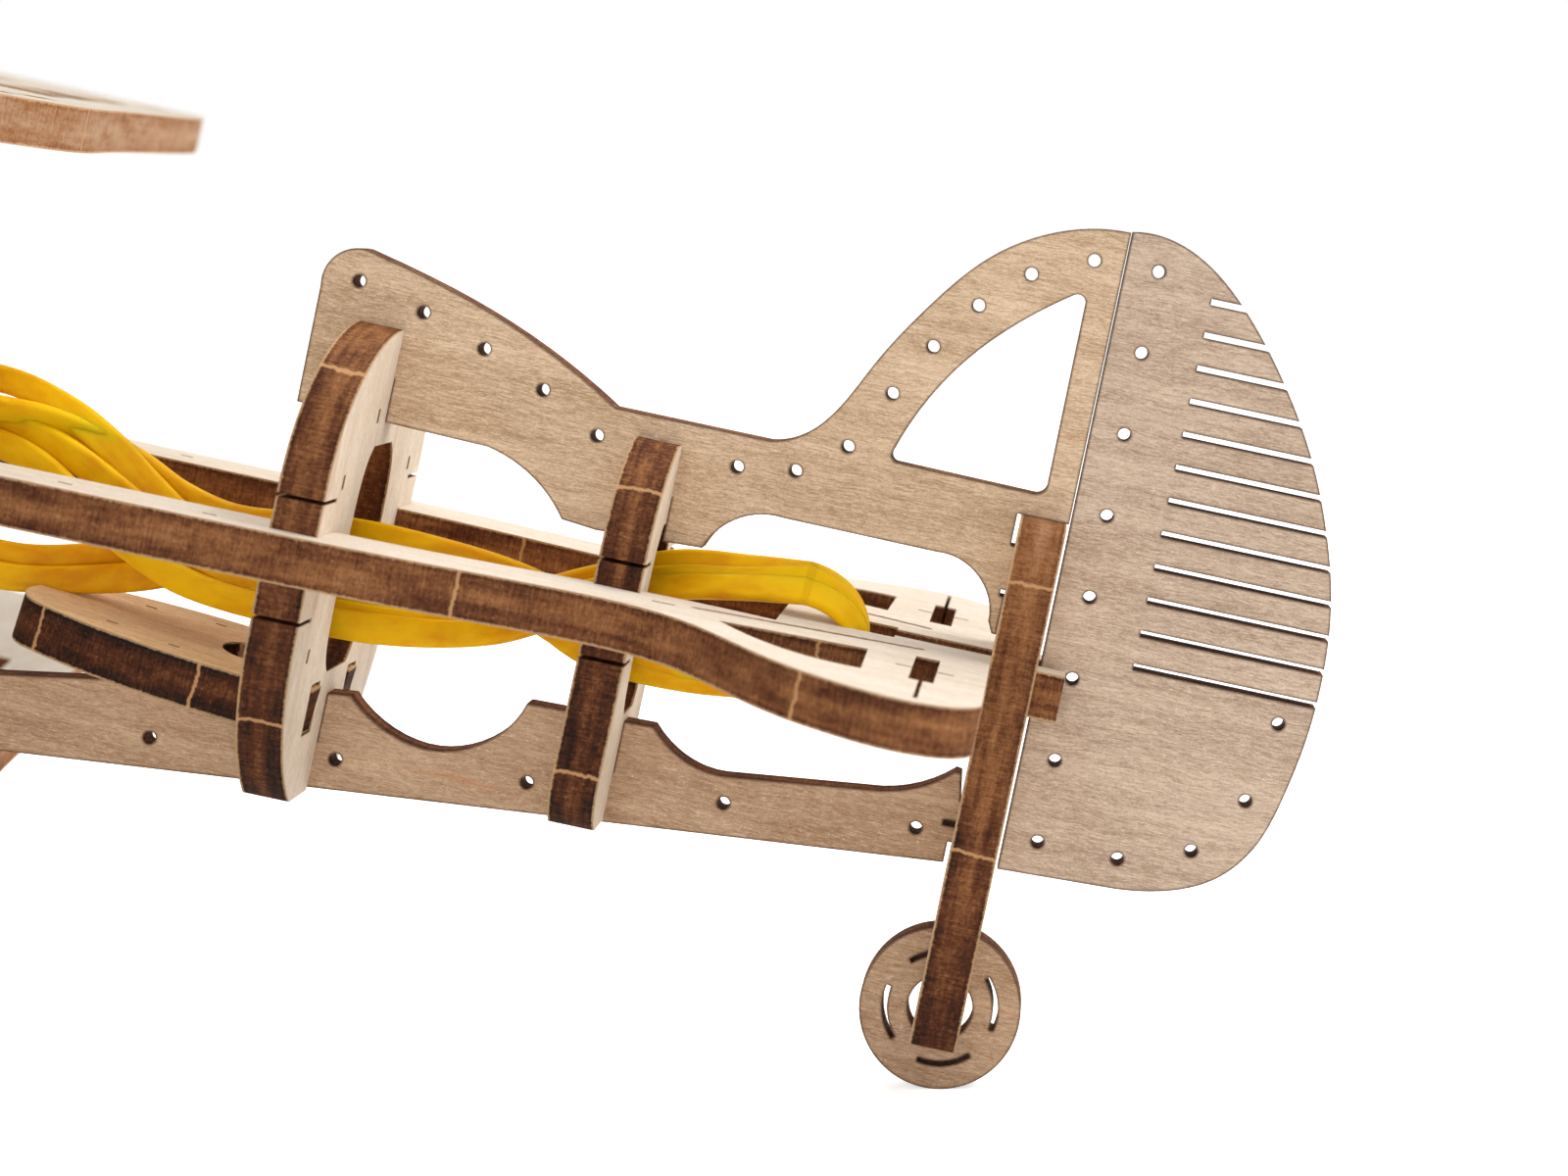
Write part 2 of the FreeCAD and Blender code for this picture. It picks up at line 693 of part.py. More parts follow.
def make_wing(label, centre_cut):
    """A thick plate with a swept rear edge, raked tips and lightening bays. Both wings share it."""
    rear = size("wing_rear_x")
    front = rear + size("wing_chord")
    tip = size("wing_half_span")
    offset = "Sizes.%s_z" % label
    body = plate(label, FLAT, offset, THICK, both_sides([
        (front, 0.0),
        (front, tip - 8.0),
        [(front - 1.8, tip - 2.4), (front - 7.6, tip)],
        (rear + 28.3, tip - 6.1),
        [(rear + 22.8, tip - 7.7), (rear + 19.4, tip - 12.2)],
        (rear + 13.7, 61.0),
        [(rear + 7.7, 35.3), (rear + 3.0, 14.2), (rear + 0.5, 4.5), (rear, 0.0)],
    ], port_starboard))
    bays = []
    for inner, outer in ((16.5, 25.0), (28.4, 40.0), (43.5, 52.5)):
        bays.append(closed([
            (rear + WING_SWEEP * inner + 6.5, inner), (rear + 21.5, inner),
            (rear + 21.5, outer), (rear + WING_SWEEP * outer + 6.5, outer),
        ]))
    bays += [box(rear + 30.2, inner, rear + 43.2, outer) for inner, outer in FRONT_BAYS]
    bays.append(box(rear + 21.0, 64.0, rear + 23.0, 70.0))
    bays.append(box(rear + 4.6, 1.0, rear + 6.2, 6.0))
    cut(body, "cut_outs", FLAT, offset, mirrored(bays, port_starboard))
    strut = box(STRUT_TAB[0] - 0.02, size("strut_y") - SLOT, STRUT_TAB[1] + 0.02, size("strut_y") + SLOT)
    cut(body, "strut_slots", FLAT, offset, mirrored([strut], port_starboard))
    cut(body, "centre_slots", FLAT, offset, centre_cut)
    return body


def make_upper_wing():
    tabs = [box(x1 - 0.02, size("cabane_y") - SLOT, x2 + 0.02, size("cabane_y") + SLOT)
            for x1, x2 in CABANE_TABS]
    return make_wing("upper_wing", mirrored(tabs, port_starboard))


def make_lower_wing():
    gear = size("gear_y")
    lap_x = size("wing_rear_x") + size("wing_chord") / 2.0
    tabs = [box(x1 - 0.02, gear - THICK_SLOT, x2 + 0.02, gear + THICK_SLOT) for x1, x2 in GEAR_TABS]
    keel_slot = box(lap_x, -SLOT, size("wing_rear_x") + size("wing_chord") + 2.0, SLOT)
    return make_wing("lower_wing", mirrored(tabs, port_starboard) + [keel_slot])


def make_cabane(label, sign):
    """Thin plate on a fuselage rail that carries the upper wing on two tabs."""
    low, high = HALF_THICK, size("upper_wing_z") - HALF_THICK
    top = size("upper_wing_z") + HALF_THICK
    (a1, a2), (b1, b2) = CABANE_TABS
    offset = "%d * Sizes.cabane_y" % sign
    body = plate(label, SIDE, offset, THIN, closed([
        (a1 - 2.0, low), (a1, low), (a1, -HALF_THICK), (a2, -HALF_THICK), (a2, low),
        (b1, low), (b1, -HALF_THICK), (b2, -HALF_THICK), (b2, low), (b2 + 2.0, low),
        (b2 + 1.0, high), (b2, high), (b2, top), (b1, top), (b1, high),
        (a2, high), (a2, top), (a1, top), (a1, high), (a1 - 1.0, high),
    ]))
    windows = [
        closed([(a2 + 2.0, low + 3.0), (b1 - 1.0, low + 3.0), (a2 + 2.0, high - 5.0)]),
        closed([(b1 + 2.0, low + 6.0), (b1 + 2.0, high - 3.0), (a2 + 4.0, high - 3.0)]),
    ]
    cut(body, "windows", SIDE, offset, windows)
    return body


def make_interplane_strut(label, sign):
    """Thin upright between the two wings, with a tab through each of them."""
    foot = size("lower_wing_z") + HALF_THICK
    head = size("upper_wing_z") - HALF_THICK
    heel = size("lower_wing_z") - HALF_THICK
    crown = size("upper_wing_z") + HALF_THICK
    x1, x2 = STRUT_TAB
    offset = "%d * Sizes.strut_y" % sign
    body = plate(label, SIDE, offset, THIN, closed([
        (x1 - 2.0, foot), (x1, foot), (x1, heel), (x2, heel), (x2, foot), (x2 + 2.0, foot),
        [(x2 + 0.6, (foot + head) / 2.0), (x2 + 2.0, head)],
        (x2, head), (x2, crown), (x1, crown), (x1, head), (x1 - 2.0, head),
        [(x1 - 0.6, (foot + head) / 2.0), (x1 - 2.0, foot)],
    ]))
    middle = (foot + head) / 2.0
    windows = [
        box(x1 + 1.6, foot + 4.0, x2 - 1.6, middle - 2.0),
        box(x1 + 1.6, middle + 2.0, x2 - 1.6, head - 4.0),
    ]
    cut(body, "windows", SIDE, offset, windows)
    return body


# ---------------------------------------------------------------- undercarriage


def axle_height():
    """Height of the main axle that lets all three wheels touch one flat floor."""
    turn = math.radians(size("attitude"))
    floor = size("tail_bar_z") * math.cos(turn) - size("tail_wheel_radius")
    rise = floor + size("main_wheel_radius") - size("axle_x") * math.sin(turn)
    return rise / math.cos(turn)


def make_gear_leg(label, sign):
    """Thick leg under the lower wing with the bore of the fixed axle at its foot."""
    root = size("lower_wing_z") - HALF_THICK
    top = size("lower_wing_z") + HALF_THICK
    axle = (size("axle_x"), axle_height())
    (a1, a2), (b1, b2) = GEAR_TABS
    reach = 4.6
    offset = "%d * Sizes.gear_y" % sign
    body = plate(label, SIDE, offset, THICK, closed([
        (a1 - 2.0, root), (a1, root), (a1, top), (a2, top), (a2, root),
        (b1, root), (b1, top), (b2, top), (b2, root), (b2 + 3.0, root),
        (axle[0] + reach, axle[1]),
        [(axle[0], axle[1] - reach), (axle[0] - reach, axle[1])],
    ]))
    cut(body, "bore", SIDE, offset, circles=[axle],
        diameter="2 * (Sizes.axle_radius + Sizes.lap_gap)")
    window = closed([(a2, root - 3.0), (b1 + 3.0, root - 3.0), (b1 + 2.0, root - 8.0)])
    cut(body, "window", SIDE, offset, [window])
    return body


def make_axle():
    return disc("axle", SIDE, "0", (size("axle_x"), axle_height()), "2 * Sizes.axle_radius", None,
                "2 * Sizes.axle_half_length")


def make_main_wheel(label, sign):
    centre = (size("axle_x"), axle_height())
    offset = "%d * Sizes.main_wheel_y" % sign
    body = disc(label, SIDE, offset, centre, "2 * Sizes.main_wheel_radius",
                "2 * (Sizes.axle_radius + Sizes.running_gap)", THICK)
    cut(body, "slots", SIDE, offset, wheel_slots(centre, 8.0, 0.8, 27.0))
    return body


def make_wheel_retainers():
    """Four thin rings pressed on the axle, one on each side of each main wheel."""
    centre = (size("axle_x"), axle_height())
    spacing = HALF_THICK + HALF_THIN + 0.1
    rings = []
    for side in (-1, 1):
        for step in (-1, 1):
            ring = disc("ring_%d" % (len(rings) + 1), SIDE,
                        "%d * Sizes.main_wheel_y + %.3f" % (side, step * spacing), centre,
                        "2 * Sizes.keeper_radius", "2 * (Sizes.axle_radius + Sizes.lap_gap)", THIN)
            rings.append(ring)
    group = doc.addObject("Part::Compound", "wheel_retainers")
    group.Label = "wheel_retainers"
    group.Links = rings
    doc.recompute()
    return group


# ---------------------------------------------------------------- nose and propeller

BEAD_LENGTH = 2.0
FLANGE = 1.0
HUB_REAR = size("nose_x") + HALF_THICK + FLANGE + 0.1 + BEAD_LENGTH
HUB_MIDDLE = HUB_REAR + size("hub_length") / 2.0
HUB_FRONT = HUB_REAR + size("hub_length")
CAP_FRONT = HUB_FRONT + size("thin_ply")
BLADE_SOCKET = 4.0


def make_nose_plate():
    """Round front plate: rail tabs, both keel tabs and the bush of the propeller shaft pass through."""
    body = disc("nose_plate", CROSS, "Sizes.nose_x", (0.0, 0.0),
                "2 * Sizes.nose_plate_radius", None, THICK)
    gap = size("lap_gap")
    slots = mirrored([box(RAIL_TAB[0] - gap, -THICK_SLOT, RAIL_TAB[1] + gap, THICK_SLOT)], left_right)
    slots.append(box(-SLOT, 9.6 - gap, SLOT, 12.6 + gap))
    slots.append(box(-SLOT, -17.0 - gap, SLOT, -13.0 + gap))
    cut(body, "slots", CROSS, "Sizes.nose_x", slots)
    cut(body, "bush_hole", CROSS, "Sizes.nose_x", circles=[(0.0, 0.0)],
        diameter="2 * (Sizes.bush_radius + Sizes.lap_gap)")
    ring = [(16.6 * math.cos(math.radians(angle)), 16.6 * math.sin(math.radians(angle)))
            for angle in range(30, 390, 30) if angle % 90]
    cut(body, "rivets", CROSS, "Sizes.nose_x", circles=ring)
    return body


def make_nose_bush():
    """Flanged bush in the nose plate, turned as one profile round the thrust line."""
    bore = size("shaft_radius") + size("running_gap")
    rear = size("nose_x") - HALF_THICK
    front = size("nose_x") + HALF_THICK
    body = new_body("nose_bush")
    sketch = new_sketch(body, "nose_bush_profile", SIDE, "0")
    add_rows(sketch, closed([
        (rear, bore), (front + FLANGE, bore), (front + FLANGE, 4.5), (front, 4.5),
        (front, size("bush_radius")), (rear, size("bush_radius")),
    ]))
    turned = body.newObject("PartDesign::Revolution", "nose_bush_turned")
    turned.Profile = sketch
    turned.ReferenceAxis = (sketch, ["H_Axis"])
    turned.Angle = 360.0
    doc.recompute()
    return body


def make_thrust_bead():
    middle = HUB_REAR - BEAD_LENGTH / 2.0
    return disc("thrust_bead", CROSS, "%.4f" % middle, (0.0, 0.0), "2 * Sizes.bead_radius",
                "2 * (Sizes.shaft_radius + Sizes.lap_gap)", "%.4f" % BEAD_LENGTH)


def part_box(name, corner_from_hub, dimensions, turn):
    """A box about the hub's middle, turned round the blade axis."""
    solid = doc.addObject("Part::Box", name)
    solid.Length, solid.Width, solid.Height = dimensions
    middle = FreeCAD.Placement(FreeCAD.Vector(HUB_MIDDLE, 0, 0), FreeCAD.Rotation(UP, turn))
    solid.Placement = middle.multiply(FreeCAD.Placement(corner_from_hub, FreeCAD.Rotation()))
    return solid


def part_cylinder(name, start, radius, length):
    """A cylinder along the thrust line, bound to the sheet."""
    solid = doc.addObject("Part::Cylinder", name)
    solid.setExpression("Radius", radius)
    solid.setExpression("Height", length)
    forward = FreeCAD.Rotation(FreeCAD.Vector(0, 1, 0), 90)
    solid.Placement = FreeCAD.Placement(FreeCAD.Vector(start, 0, 0), forward)
    return solid


def make_propeller_hub():
    """A round block with a bore and two blade sockets, each turned to the blade's pitch."""
    block = part_cylinder("hub_block", HUB_REAR, "Sizes.hub_radius", "Sizes.hub_length")
    bore = part_cylinder("hub_bore", HUB_REAR - 1.0, "Sizes.shaft_radius + Sizes.lap_gap",
                         "Sizes.hub_length + 2")
    wide = 6.0 + 2.0 * size("lap_gap")
    deep = BLADE_SOCKET + 1.0
    cuts = [bore]
    for name, sign in (("upper", 1), ("lower", -1)):
        base = size("hub_radius") - BLADE_SOCKET
        low = base if sign > 0 else -base - deep
        corner = FreeCAD.Vector(-SLOT, -wide / 2.0, low)
        turn = sign * (90.0 - size("blade_pitch")) + 90.0
        cuts.append(part_box("socket_" + name, corner, (2 * SLOT, wide, deep), turn))
    tools = doc.addObject("Part::MultiFuse", "hub_tools")
    tools.Shapes = cuts
    hub = doc.addObject("Part::Cut", "propeller_hub")
    hub.Base = block
    hub.Tool = tools
    hub.Label = "propeller_hub"
    doc.recompute()
    return hub


def make_blade(label):
    """A thin blade drawn upright with its root in the hub. Its placement adds pitch and side."""
    base = size("hub_radius") - BLADE_SOCKET
    tip = size("blade_length")
    body = plate(label, CROSS, "0", THIN, closed([
        (-3.0, base),
        (-3.0, 7.4),
        [(-4.6, 14.0), (-6.0, 24.0), (-5.6, 34.0), (-3.4, tip - 2.0), (0.0, tip), (3.4, tip - 2.0),
         (5.6, 34.0), (6.0, 24.0), (4.6, 14.0), (3.0, 7.4)],
        (3.0, base),
    ]))
    return body


def make_propeller_cap():
    return disc("propeller_cap", CROSS, "%.4f" % (HUB_FRONT + HALF_THIN), (0.0, 0.0),
                "2 * Sizes.cap_radius",
                "2 * (Sizes.shaft_radius + Sizes.lap_gap)", THIN)


HOOK_X = 143.6


def make_propeller_shaft():
    """Steel wire: a thinner stub in front of the cap, straight through the hub, then a hook behind."""
    body = new_body("propeller_shaft")
    path = new_sketch(body, "wire_path", SIDE, "0")
    path.addGeometry(Part.LineSegment(vector((CAP_FRONT, 0.0)), vector((151.0, 0.0))), False)
    curve = Part.BSplineCurve()
    hook = [(151.0, 0.0), (148.6, 1.0), (146.0, 3.0), (HOOK_X, 3.1), (141.6, 1.0),
            (142.0, -1.9), (144.2, -3.0), (146.6, -2.0)]
    curve.interpolate(Points=[vector(point) for point in hook],
                      InitialTangent=FreeCAD.Vector(-1, 0, 0), FinalTangent=FreeCAD.Vector(1, 0.6, 0))
    path.addGeometry(curve, False)
    wire = new_sketch(body, "wire_section", CROSS, "%.4f" % CAP_FRONT)
    add_circles(wire, [(0.0, 0.0)], "2 * Sizes.shaft_radius")
    pipe = body.newObject("PartDesign::AdditivePipe", "wire")
    pipe.Profile = wire
    pipe.Spine = (path, [])
    stub = new_sketch(body, "stub_section", CROSS, "%.4f + Sizes.stub_length / 2" % CAP_FRONT)
    add_circles(stub, [(0.0, 0.0)], "2 * Sizes.stub_radius")
    pad(body, stub, "Sizes.stub_length")
    return body


# ---------------------------------------------------------------- rubber motor

# Each row gives a station along the fuselage, the half width and half height there, and the mid height.
RUBBER_STATIONS = [
    (21.4, 2.0, 4.0, 0.0),
    (33.9, 2.5, 4.7, -0.1),
    (59.5, 3.3, 6.4, -0.6),
    (84.0, 4.4, 6.6, -0.4),
    (112.0, 4.2, 6.0, -0.2),
    (140.2, 2.2, 3.0, 0.0),
]


def make_rubber_motor():
    """The space of the twisted bands, as a loft through ellipses that clears every opening."""
    body = new_body("rubber_motor")
    sections = []
    for number, (x, half_width, half_height, middle) in enumerate(RUBBER_STATIONS):
        sketch = new_sketch(body, "rubber_section_%d" % number, CROSS, "%.3f" % x)
        centre = vector((0.0, middle))
        end = FreeCAD.Vector(0.0, middle + half_height, 0.0)
        side = FreeCAD.Vector(half_width, middle, 0.0)
        sketch.addGeometry(Part.Ellipse(end, side, centre), False)
        sections.append(sketch)
    loft = body.newObject("PartDesign::AdditiveLoft", "rubber_loft")
    loft.Profile = sections[0]
    loft.Sections = sections[1:]
    doc.recompute()
    return body


# ---------------------------------------------------------------- assembly


def standing_placement():
    """Nose up by the ground attitude with the wheels on the floor, and the tail post above the origin."""
    turn = math.radians(size("attitude"))
    height = size("tail_bar_z") * math.cos(turn) - size("tail_wheel_radius")
    tilt = FreeCAD.Rotation(FreeCAD.Vector(0, 1, 0), -size("attitude"))
    return FreeCAD.Placement(FreeCAD.Vector(0, 0, -height), tilt)


def local_placements():
    """Pieces drawn away from their place in the aircraft, with the move that puts them there."""
    cockpit = FreeCAD.Vector(size("former_cockpit_x"), 0, BELLY_HEIGHT)
    hub = FreeCAD.Vector(HUB_MIDDLE, 0, 0)
    pitch = FreeCAD.Rotation(UP, -size("blade_pitch"))
    half_turn = FreeCAD.Rotation(FreeCAD.Vector(1, 0, 0), 180)
    return {
        "belly_plate": FreeCAD.Placement(
            cockpit, FreeCAD.Rotation(FreeCAD.Vector(0, 1, 0), -size("belly_tilt"))),
        "propeller_blade_upper": FreeCAD.Placement(hub, pitch),
        "propeller_blade_lower": FreeCAD.Placement(hub, half_turn.multiply(pitch)),
    }


def make_pieces():
    return [
        make_fuselage_frame(),
        make_upper_keel(),
        make_lower_keel(),
        make_cowl_keel(),
        make_rudder(),
        make_tail_post(),
        make_tail_wheel(),
        make_former_cockpit(),
        make_former_tail(),
        make_wing_former("former_wing", 13.0, 3.6, -25.4, tall_opening(6.5, -10.0, 9.6)),
        make_wing_former("former_front", 10.9, 3.1, -26.4, tall_opening(6.0, -9.0, 8.6)),
        make_belly_plate(),
        make_upper_wing(),
        make_lower_wing(),
        make_cabane("cabane_left", 1),
        make_cabane("cabane_right", -1),
        make_interplane_strut("interplane_strut_left", 1),
        make_interplane_strut("interplane_strut_right", -1),
        make_gear_leg("gear_leg_left", 1),
        make_gear_leg("gear_leg_right", -1),
        make_axle(),
        make_main_wheel("main_wheel_left", 1),
        make_main_wheel("main_wheel_right", -1),
        make_wheel_retainers(),
        make_nose_plate(),
        make_nose_bush(),
        make_thrust_bead(),
        make_propeller_hub(),
        make_blade("propeller_blade_upper"),
        make_blade("propeller_blade_lower"),
        make_propeller_cap(),
        make_propeller_shaft(),
        make_rubber_motor(),
    ]


def check_document(pieces):
    """Stop when any feature has failed or any piece is not a sound solid."""
    for item in doc.Objects:
        if {"Invalid", "Error"} & set(item.State):
            raise RuntimeError("%s failed: %s" % (item.Name, item.State))
    for piece in pieces:
        if piece.Shape.isNull() or not piece.Shape.isValid() or not piece.Shape.Solids:
            raise RuntimeError("%s has no sound shape" % piece.Label)


def place(pieces, whole):
    """Put every piece where it belongs in the aircraft, and the aircraft where it stands."""
    local = local_placements()
    for piece in pieces:
        piece.Placement = whole.multiply(local.get(piece.Label, FreeCAD.Placement()))
    doc.recompute()


def middle_of_length(pieces):
    boxes = [piece.Shape.optimalBoundingBox(False, False) for piece in pieces]
    return (min(item.XMin for item in boxes) + max(item.XMax for item in boxes)) / 2.0


def write_parts():
    pieces = make_pieces()
    whole = standing_placement()
    place(pieces, whole)
    whole.Base.x -= middle_of_length(pieces)
    place(pieces, whole)
    check_document(pieces)
    os.makedirs("parts", exist_ok=True)
    for piece in pieces:
        piece.Shape.exportStep(os.path.join("parts", piece.Label + ".step"))


write_parts()
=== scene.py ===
import json
import math

import bpy
import bmesh
from mathutils import Matrix, Vector


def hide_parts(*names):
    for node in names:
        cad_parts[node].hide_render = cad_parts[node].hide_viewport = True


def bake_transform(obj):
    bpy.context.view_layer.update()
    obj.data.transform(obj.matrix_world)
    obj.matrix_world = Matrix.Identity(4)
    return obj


MM = 0.001
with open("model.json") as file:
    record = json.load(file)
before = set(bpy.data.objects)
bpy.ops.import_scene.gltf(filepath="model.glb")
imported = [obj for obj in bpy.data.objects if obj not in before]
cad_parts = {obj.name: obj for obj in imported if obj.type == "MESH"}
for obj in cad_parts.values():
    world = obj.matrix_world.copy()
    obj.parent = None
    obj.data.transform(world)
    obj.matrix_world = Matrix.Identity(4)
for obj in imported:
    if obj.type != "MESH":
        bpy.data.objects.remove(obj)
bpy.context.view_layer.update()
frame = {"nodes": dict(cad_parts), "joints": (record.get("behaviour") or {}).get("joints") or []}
scene = bpy.context.scene
joints = {joint["name"]: joint for joint in frame["joints"]}

# ---------------------------------------------------------------- the aircraft's own axes
# x runs forward from the tail post, y to port and z up from the middle of the flat fuselage frame.

FORWARD = Vector(joints["propeller_spin"]["axis"]).normalized()
UPWARD = Vector(joints["rudder_hinge"]["axis"]).normalized()
PORT = Vector((0, 1, 0))
HINGE_BEHIND_POST = 2.26
ORIGIN = Vector(joints["rudder_hinge"]["pos_m"]) + FORWARD * HINGE_BEHIND_POST * MM
ATTITUDE = math.atan2(FORWARD.z, FORWARD.x)


def at(x, y, z):
    """A point given in millimetres in the aircraft's axes, in the row frame."""
    return ORIGIN + (FORWARD * x + PORT * y + UPWARD * z) * MM


def aircraft(point):
    """A point of the row frame, in millimetres in the aircraft's axes."""
    offset = (Vector(point) - ORIGIN) / MM
    return Vector((offset.dot(FORWARD), offset.dot(PORT), offset.dot(UPWARD)))


def middle_of(node):
    """The middle of a node's vertices along each of the aircraft's axes."""
    points = [aircraft(v.co) for v in frame["nodes"][node].data.vertices]
    return [(min(p[i] for p in points) + max(p[i] for p in points)) / 2 for i in range(3)]


# ---------------------------------------------------------------- node helpers

# The mix node keeps a set of sockets for each kind of value. These are its colour sockets.
MIX_FIRST, MIX_SECOND, MIX_RESULT = 6, 7, 2


class Nodes:
    """A short way to write node trees."""

    def __init__(self, tree):
        self.tree = tree

    def add(self, kind, **settings):
        node = self.tree.nodes.new(kind)
        for name, value in settings.items():
            setattr(node, name, value)
        return node

    def link(self, source, target):
        self.tree.links.new(source, target)

    def feed(self, socket, value):
        if isinstance(value, bpy.types.NodeSocket):
            self.link(value, socket)
        else:
            socket.default_value = value

    def math(self, operation, a, b=0.0, c=0.0):
        node = self.add("ShaderNodeMath", operation=operation)
        for socket, value in zip(node.inputs, (a, b, c)):
            self.feed(socket, value)
        return node.outputs[0]

    def vector(self, operation, a, b):
        node = self.add("ShaderNodeVectorMath", operation=operation)
        self.feed(node.inputs[0], a)
        self.feed(node.inputs[1], b)
        return node.outputs["Value"] if operation == "DOT_PRODUCT" else node.outputs["Vector"]

    def mix(self, share, a, b):
        """Colour a where share is 0, and colour b where it is 1."""
        node = self.add("ShaderNodeMix", data_type="RGBA")
        self.feed(node.inputs["Factor"], share)
        self.feed(node.inputs[MIX_FIRST], a)
        self.feed(node.inputs[MIX_SECOND], b)
        return node.outputs[MIX_RESULT]

    def step(self, value, low, high):
        """0 at low and 1 at high, smooth between them and flat beyond. low can be the larger."""
        node = self.add("ShaderNodeMapRange", interpolation_type="SMOOTHSTEP")
        for name, number in (("Value", value), ("From Min", low), ("From Max", high)):
            self.feed(node.inputs[name], number)
        return node.outputs["Result"]

    def share(self, value, low, high, most):
        """The same step, from 0 to most."""
        return self.math("MULTIPLY", self.step(value, low, high), most)

    def weighted(self, *pairs):
        """The sum of some values, each times its weight."""
        total = 0.0
        for value, weight in pairs:
            total = self.math("MULTIPLY_ADD", value, weight, total)
        return total

    def noise(self, point, scale=1.0, detail=3.0, roughness=0.55):
        node = self.add("ShaderNodeTexNoise")
        self.feed(node.inputs["Vector"], point)
        node.inputs["Scale"].default_value = scale
        node.inputs["Detail"].default_value = detail
        node.inputs["Roughness"].default_value = roughness
        return node.outputs["Fac"]

    def stretched(self, point, scale):
        return self.vector("MULTIPLY", point, scale)

    def join(self, x, y, z):
        node = self.add("ShaderNodeCombineXYZ")
        for socket, value in zip(node.inputs, (x, y, z)):
            self.feed(socket, value)
        return node.outputs[0]


def rgb(red, green, blue):
    """A colour given as it looks on a screen, 0 to 255, as the linear colour of a node."""

    def linear(value):
        value = value / 255
        return value / 12.92 if value <= 0.04045 else ((value + 0.055) / 1.055) ** 2.4

    return (linear(red), linear(green), linear(blue), 1.0)


def new_material(name):
    material = bpy.data.materials.new(name)
    material.use_nodes = True
    tree = material.node_tree
    tree.nodes.clear()
    nodes = Nodes(tree)
    shader = nodes.add("ShaderNodeBsdfPrincipled")
    output = nodes.add("ShaderNodeOutputMaterial")
    nodes.link(shader.outputs[0], output.inputs["Surface"])
    return material, nodes, shader


def aircraft_point(nodes):
    """The surface's point in the aircraft's axes, in millimetres, and its normal in the row frame."""
    coordinates = nodes.add("ShaderNodeTexCoord")
    turned = nodes.add("ShaderNodeMapping", vector_type="POINT")
    nodes.link(coordinates.outputs["Object"], turned.inputs["Vector"])
    turned.inputs["Rotation"].default_value = (0, ATTITUDE, 0)
    start = Matrix.Rotation(ATTITUDE, 3, "Y") @ ORIGIN
    turned.inputs["Location"].default_value = -start
    return nodes.vector("MULTIPLY", turned.outputs[0], (1 / MM,) * 3), coordinates.outputs["Normal"]


def bump(nodes, shader, height, distance, strength):
    node = nodes.add("ShaderNodeBump")
    node.inputs["Distance"].default_value = distance
    node.inputs["Strength"].default_value = strength
    nodes.link(height, node.inputs["Height"])
    nodes.link(node.outputs[0], shader.inputs["Normal"])


# ---------------------------------------------------------------- plywood

# Face colours of the sheets, as (where the fibres are darkest, where they are lightest).
# The first four are thick sheets, and the others thin ones.
# The wings', the belly's and the thin sheets' tones are painted shade: the same ply made darker
# for faces that get less light, with the thin sheets seen from their shaded side.
PALE = (rgb(212, 192, 168), rgb(242, 231, 217))
FAIR = (rgb(204, 186, 164), rgb(232, 221, 208))
SHADED_DULL = (rgb(180, 165, 146), rgb(208, 199, 187))
SHADED_HONEY = (rgb(198, 154, 106), rgb(244, 210, 166))
SHADED_TAN = (rgb(168, 135, 102), rgb(234, 206, 175))
SHADED_GREY = (rgb(160, 132, 110), rgb(223, 199, 176))
SHADED_BROWN = (rgb(150, 114, 84), rgb(206, 174, 144))
THIN_TONES = (SHADED_TAN, SHADED_GREY, SHADED_BROWN)
THICK_HALF = 2.0
THIN_HALF = 1.0

# Marks on the faces.
LIGHT_FLECK = rgb(255, 240, 220)
DARK_FLECK = rgb(112, 76, 50)
HAIR = rgb(244, 226, 200)
RUST = rgb(190, 120, 66)
SCORED = rgb(118, 76, 48)
SINGED = rgb(70, 42, 26)

# Colours of the cut edges, from the most burnt to the least.
CHAR = rgb(30, 17, 12)
SCORCH = rgb(84, 44, 24)
AMBER = rgb(154, 102, 62)
TOASTED = rgb(186, 150, 118)
NICK = rgb(206, 158, 110)
LIP = rgb(226, 186, 140)
# Each colour after CHAR, with the lightness at which it begins and at which it has taken over.
EDGE_STEPS = ((SCORCH, 0.86, 1.26), (AMBER, 1.14, 1.72), (TOASTED, 1.55, 2.10))
EDGE_DARKENING = 0.10
# Painted light from above: how much lighter the edge of an upright piece gets for each millimetre of
# height.
TOP_LIGHT_GRADIENT = 0.009

# Noise scales on a face, as patches a millimetre (along the grain, across it, through the sheet).
CLOUD_SCALE = (0.05, 0.14, 0.3)
STREAK_SCALE = (0.035, 0.55, 0.3)
BAND_SCALE = (0.05, 0.9, 0.3)
CURL_SCALE = (0.9, 1.3, 0.3)
FIBRE_SCALE = (1.0, 9.0, 0.3)
FLECK_SCALE = (2.0, 8.0, 0.3)
GRIT_SCALE = (4.5, 8.0, 0.3)
# The same on a cut edge. The last number is again the one through the sheet.
LAYER_SCALE = (0.07, 0.07, 1.5)
SOOT_SCALE = (0.16, 0.16, 0.55)
SPARK_SCALE = (3.0, 3.0, 3.4)
STROKE_SCALE = (5.5, 5.5, 0.6)
# How far a sheet's pattern lies from the next sheet's in the noise, along, across and through it.
STRIDE_ALONG, STRIDE_ACROSS, STRIDE_THROUGH = 37.0, 11.0, 9.0
# The same for the two faces of one sheet.
FACE_STRIDE = 5.0
WAVE_SCALE = (0.16, 0.16, 0.16)
WAVE_HEIGHT = 0.9
# Along an edge the strokes lean by this slope.
STROKE_LEAN = -0.35

# Marks left by the beam and the holding tabs, in millimetres.
BORDER_REACH = 0.38
NICK_OFFSET = 0.67
NICK_OUTSIDE, NICK_INSIDE = 0.20, 0.08
SCORE_WANDER = 1.2
SCORE_OUTSIDE, SCORE_INSIDE = 1.10, 0.80
SCORE_FADE = 0.3
PLY_RELIEF = 0.00006


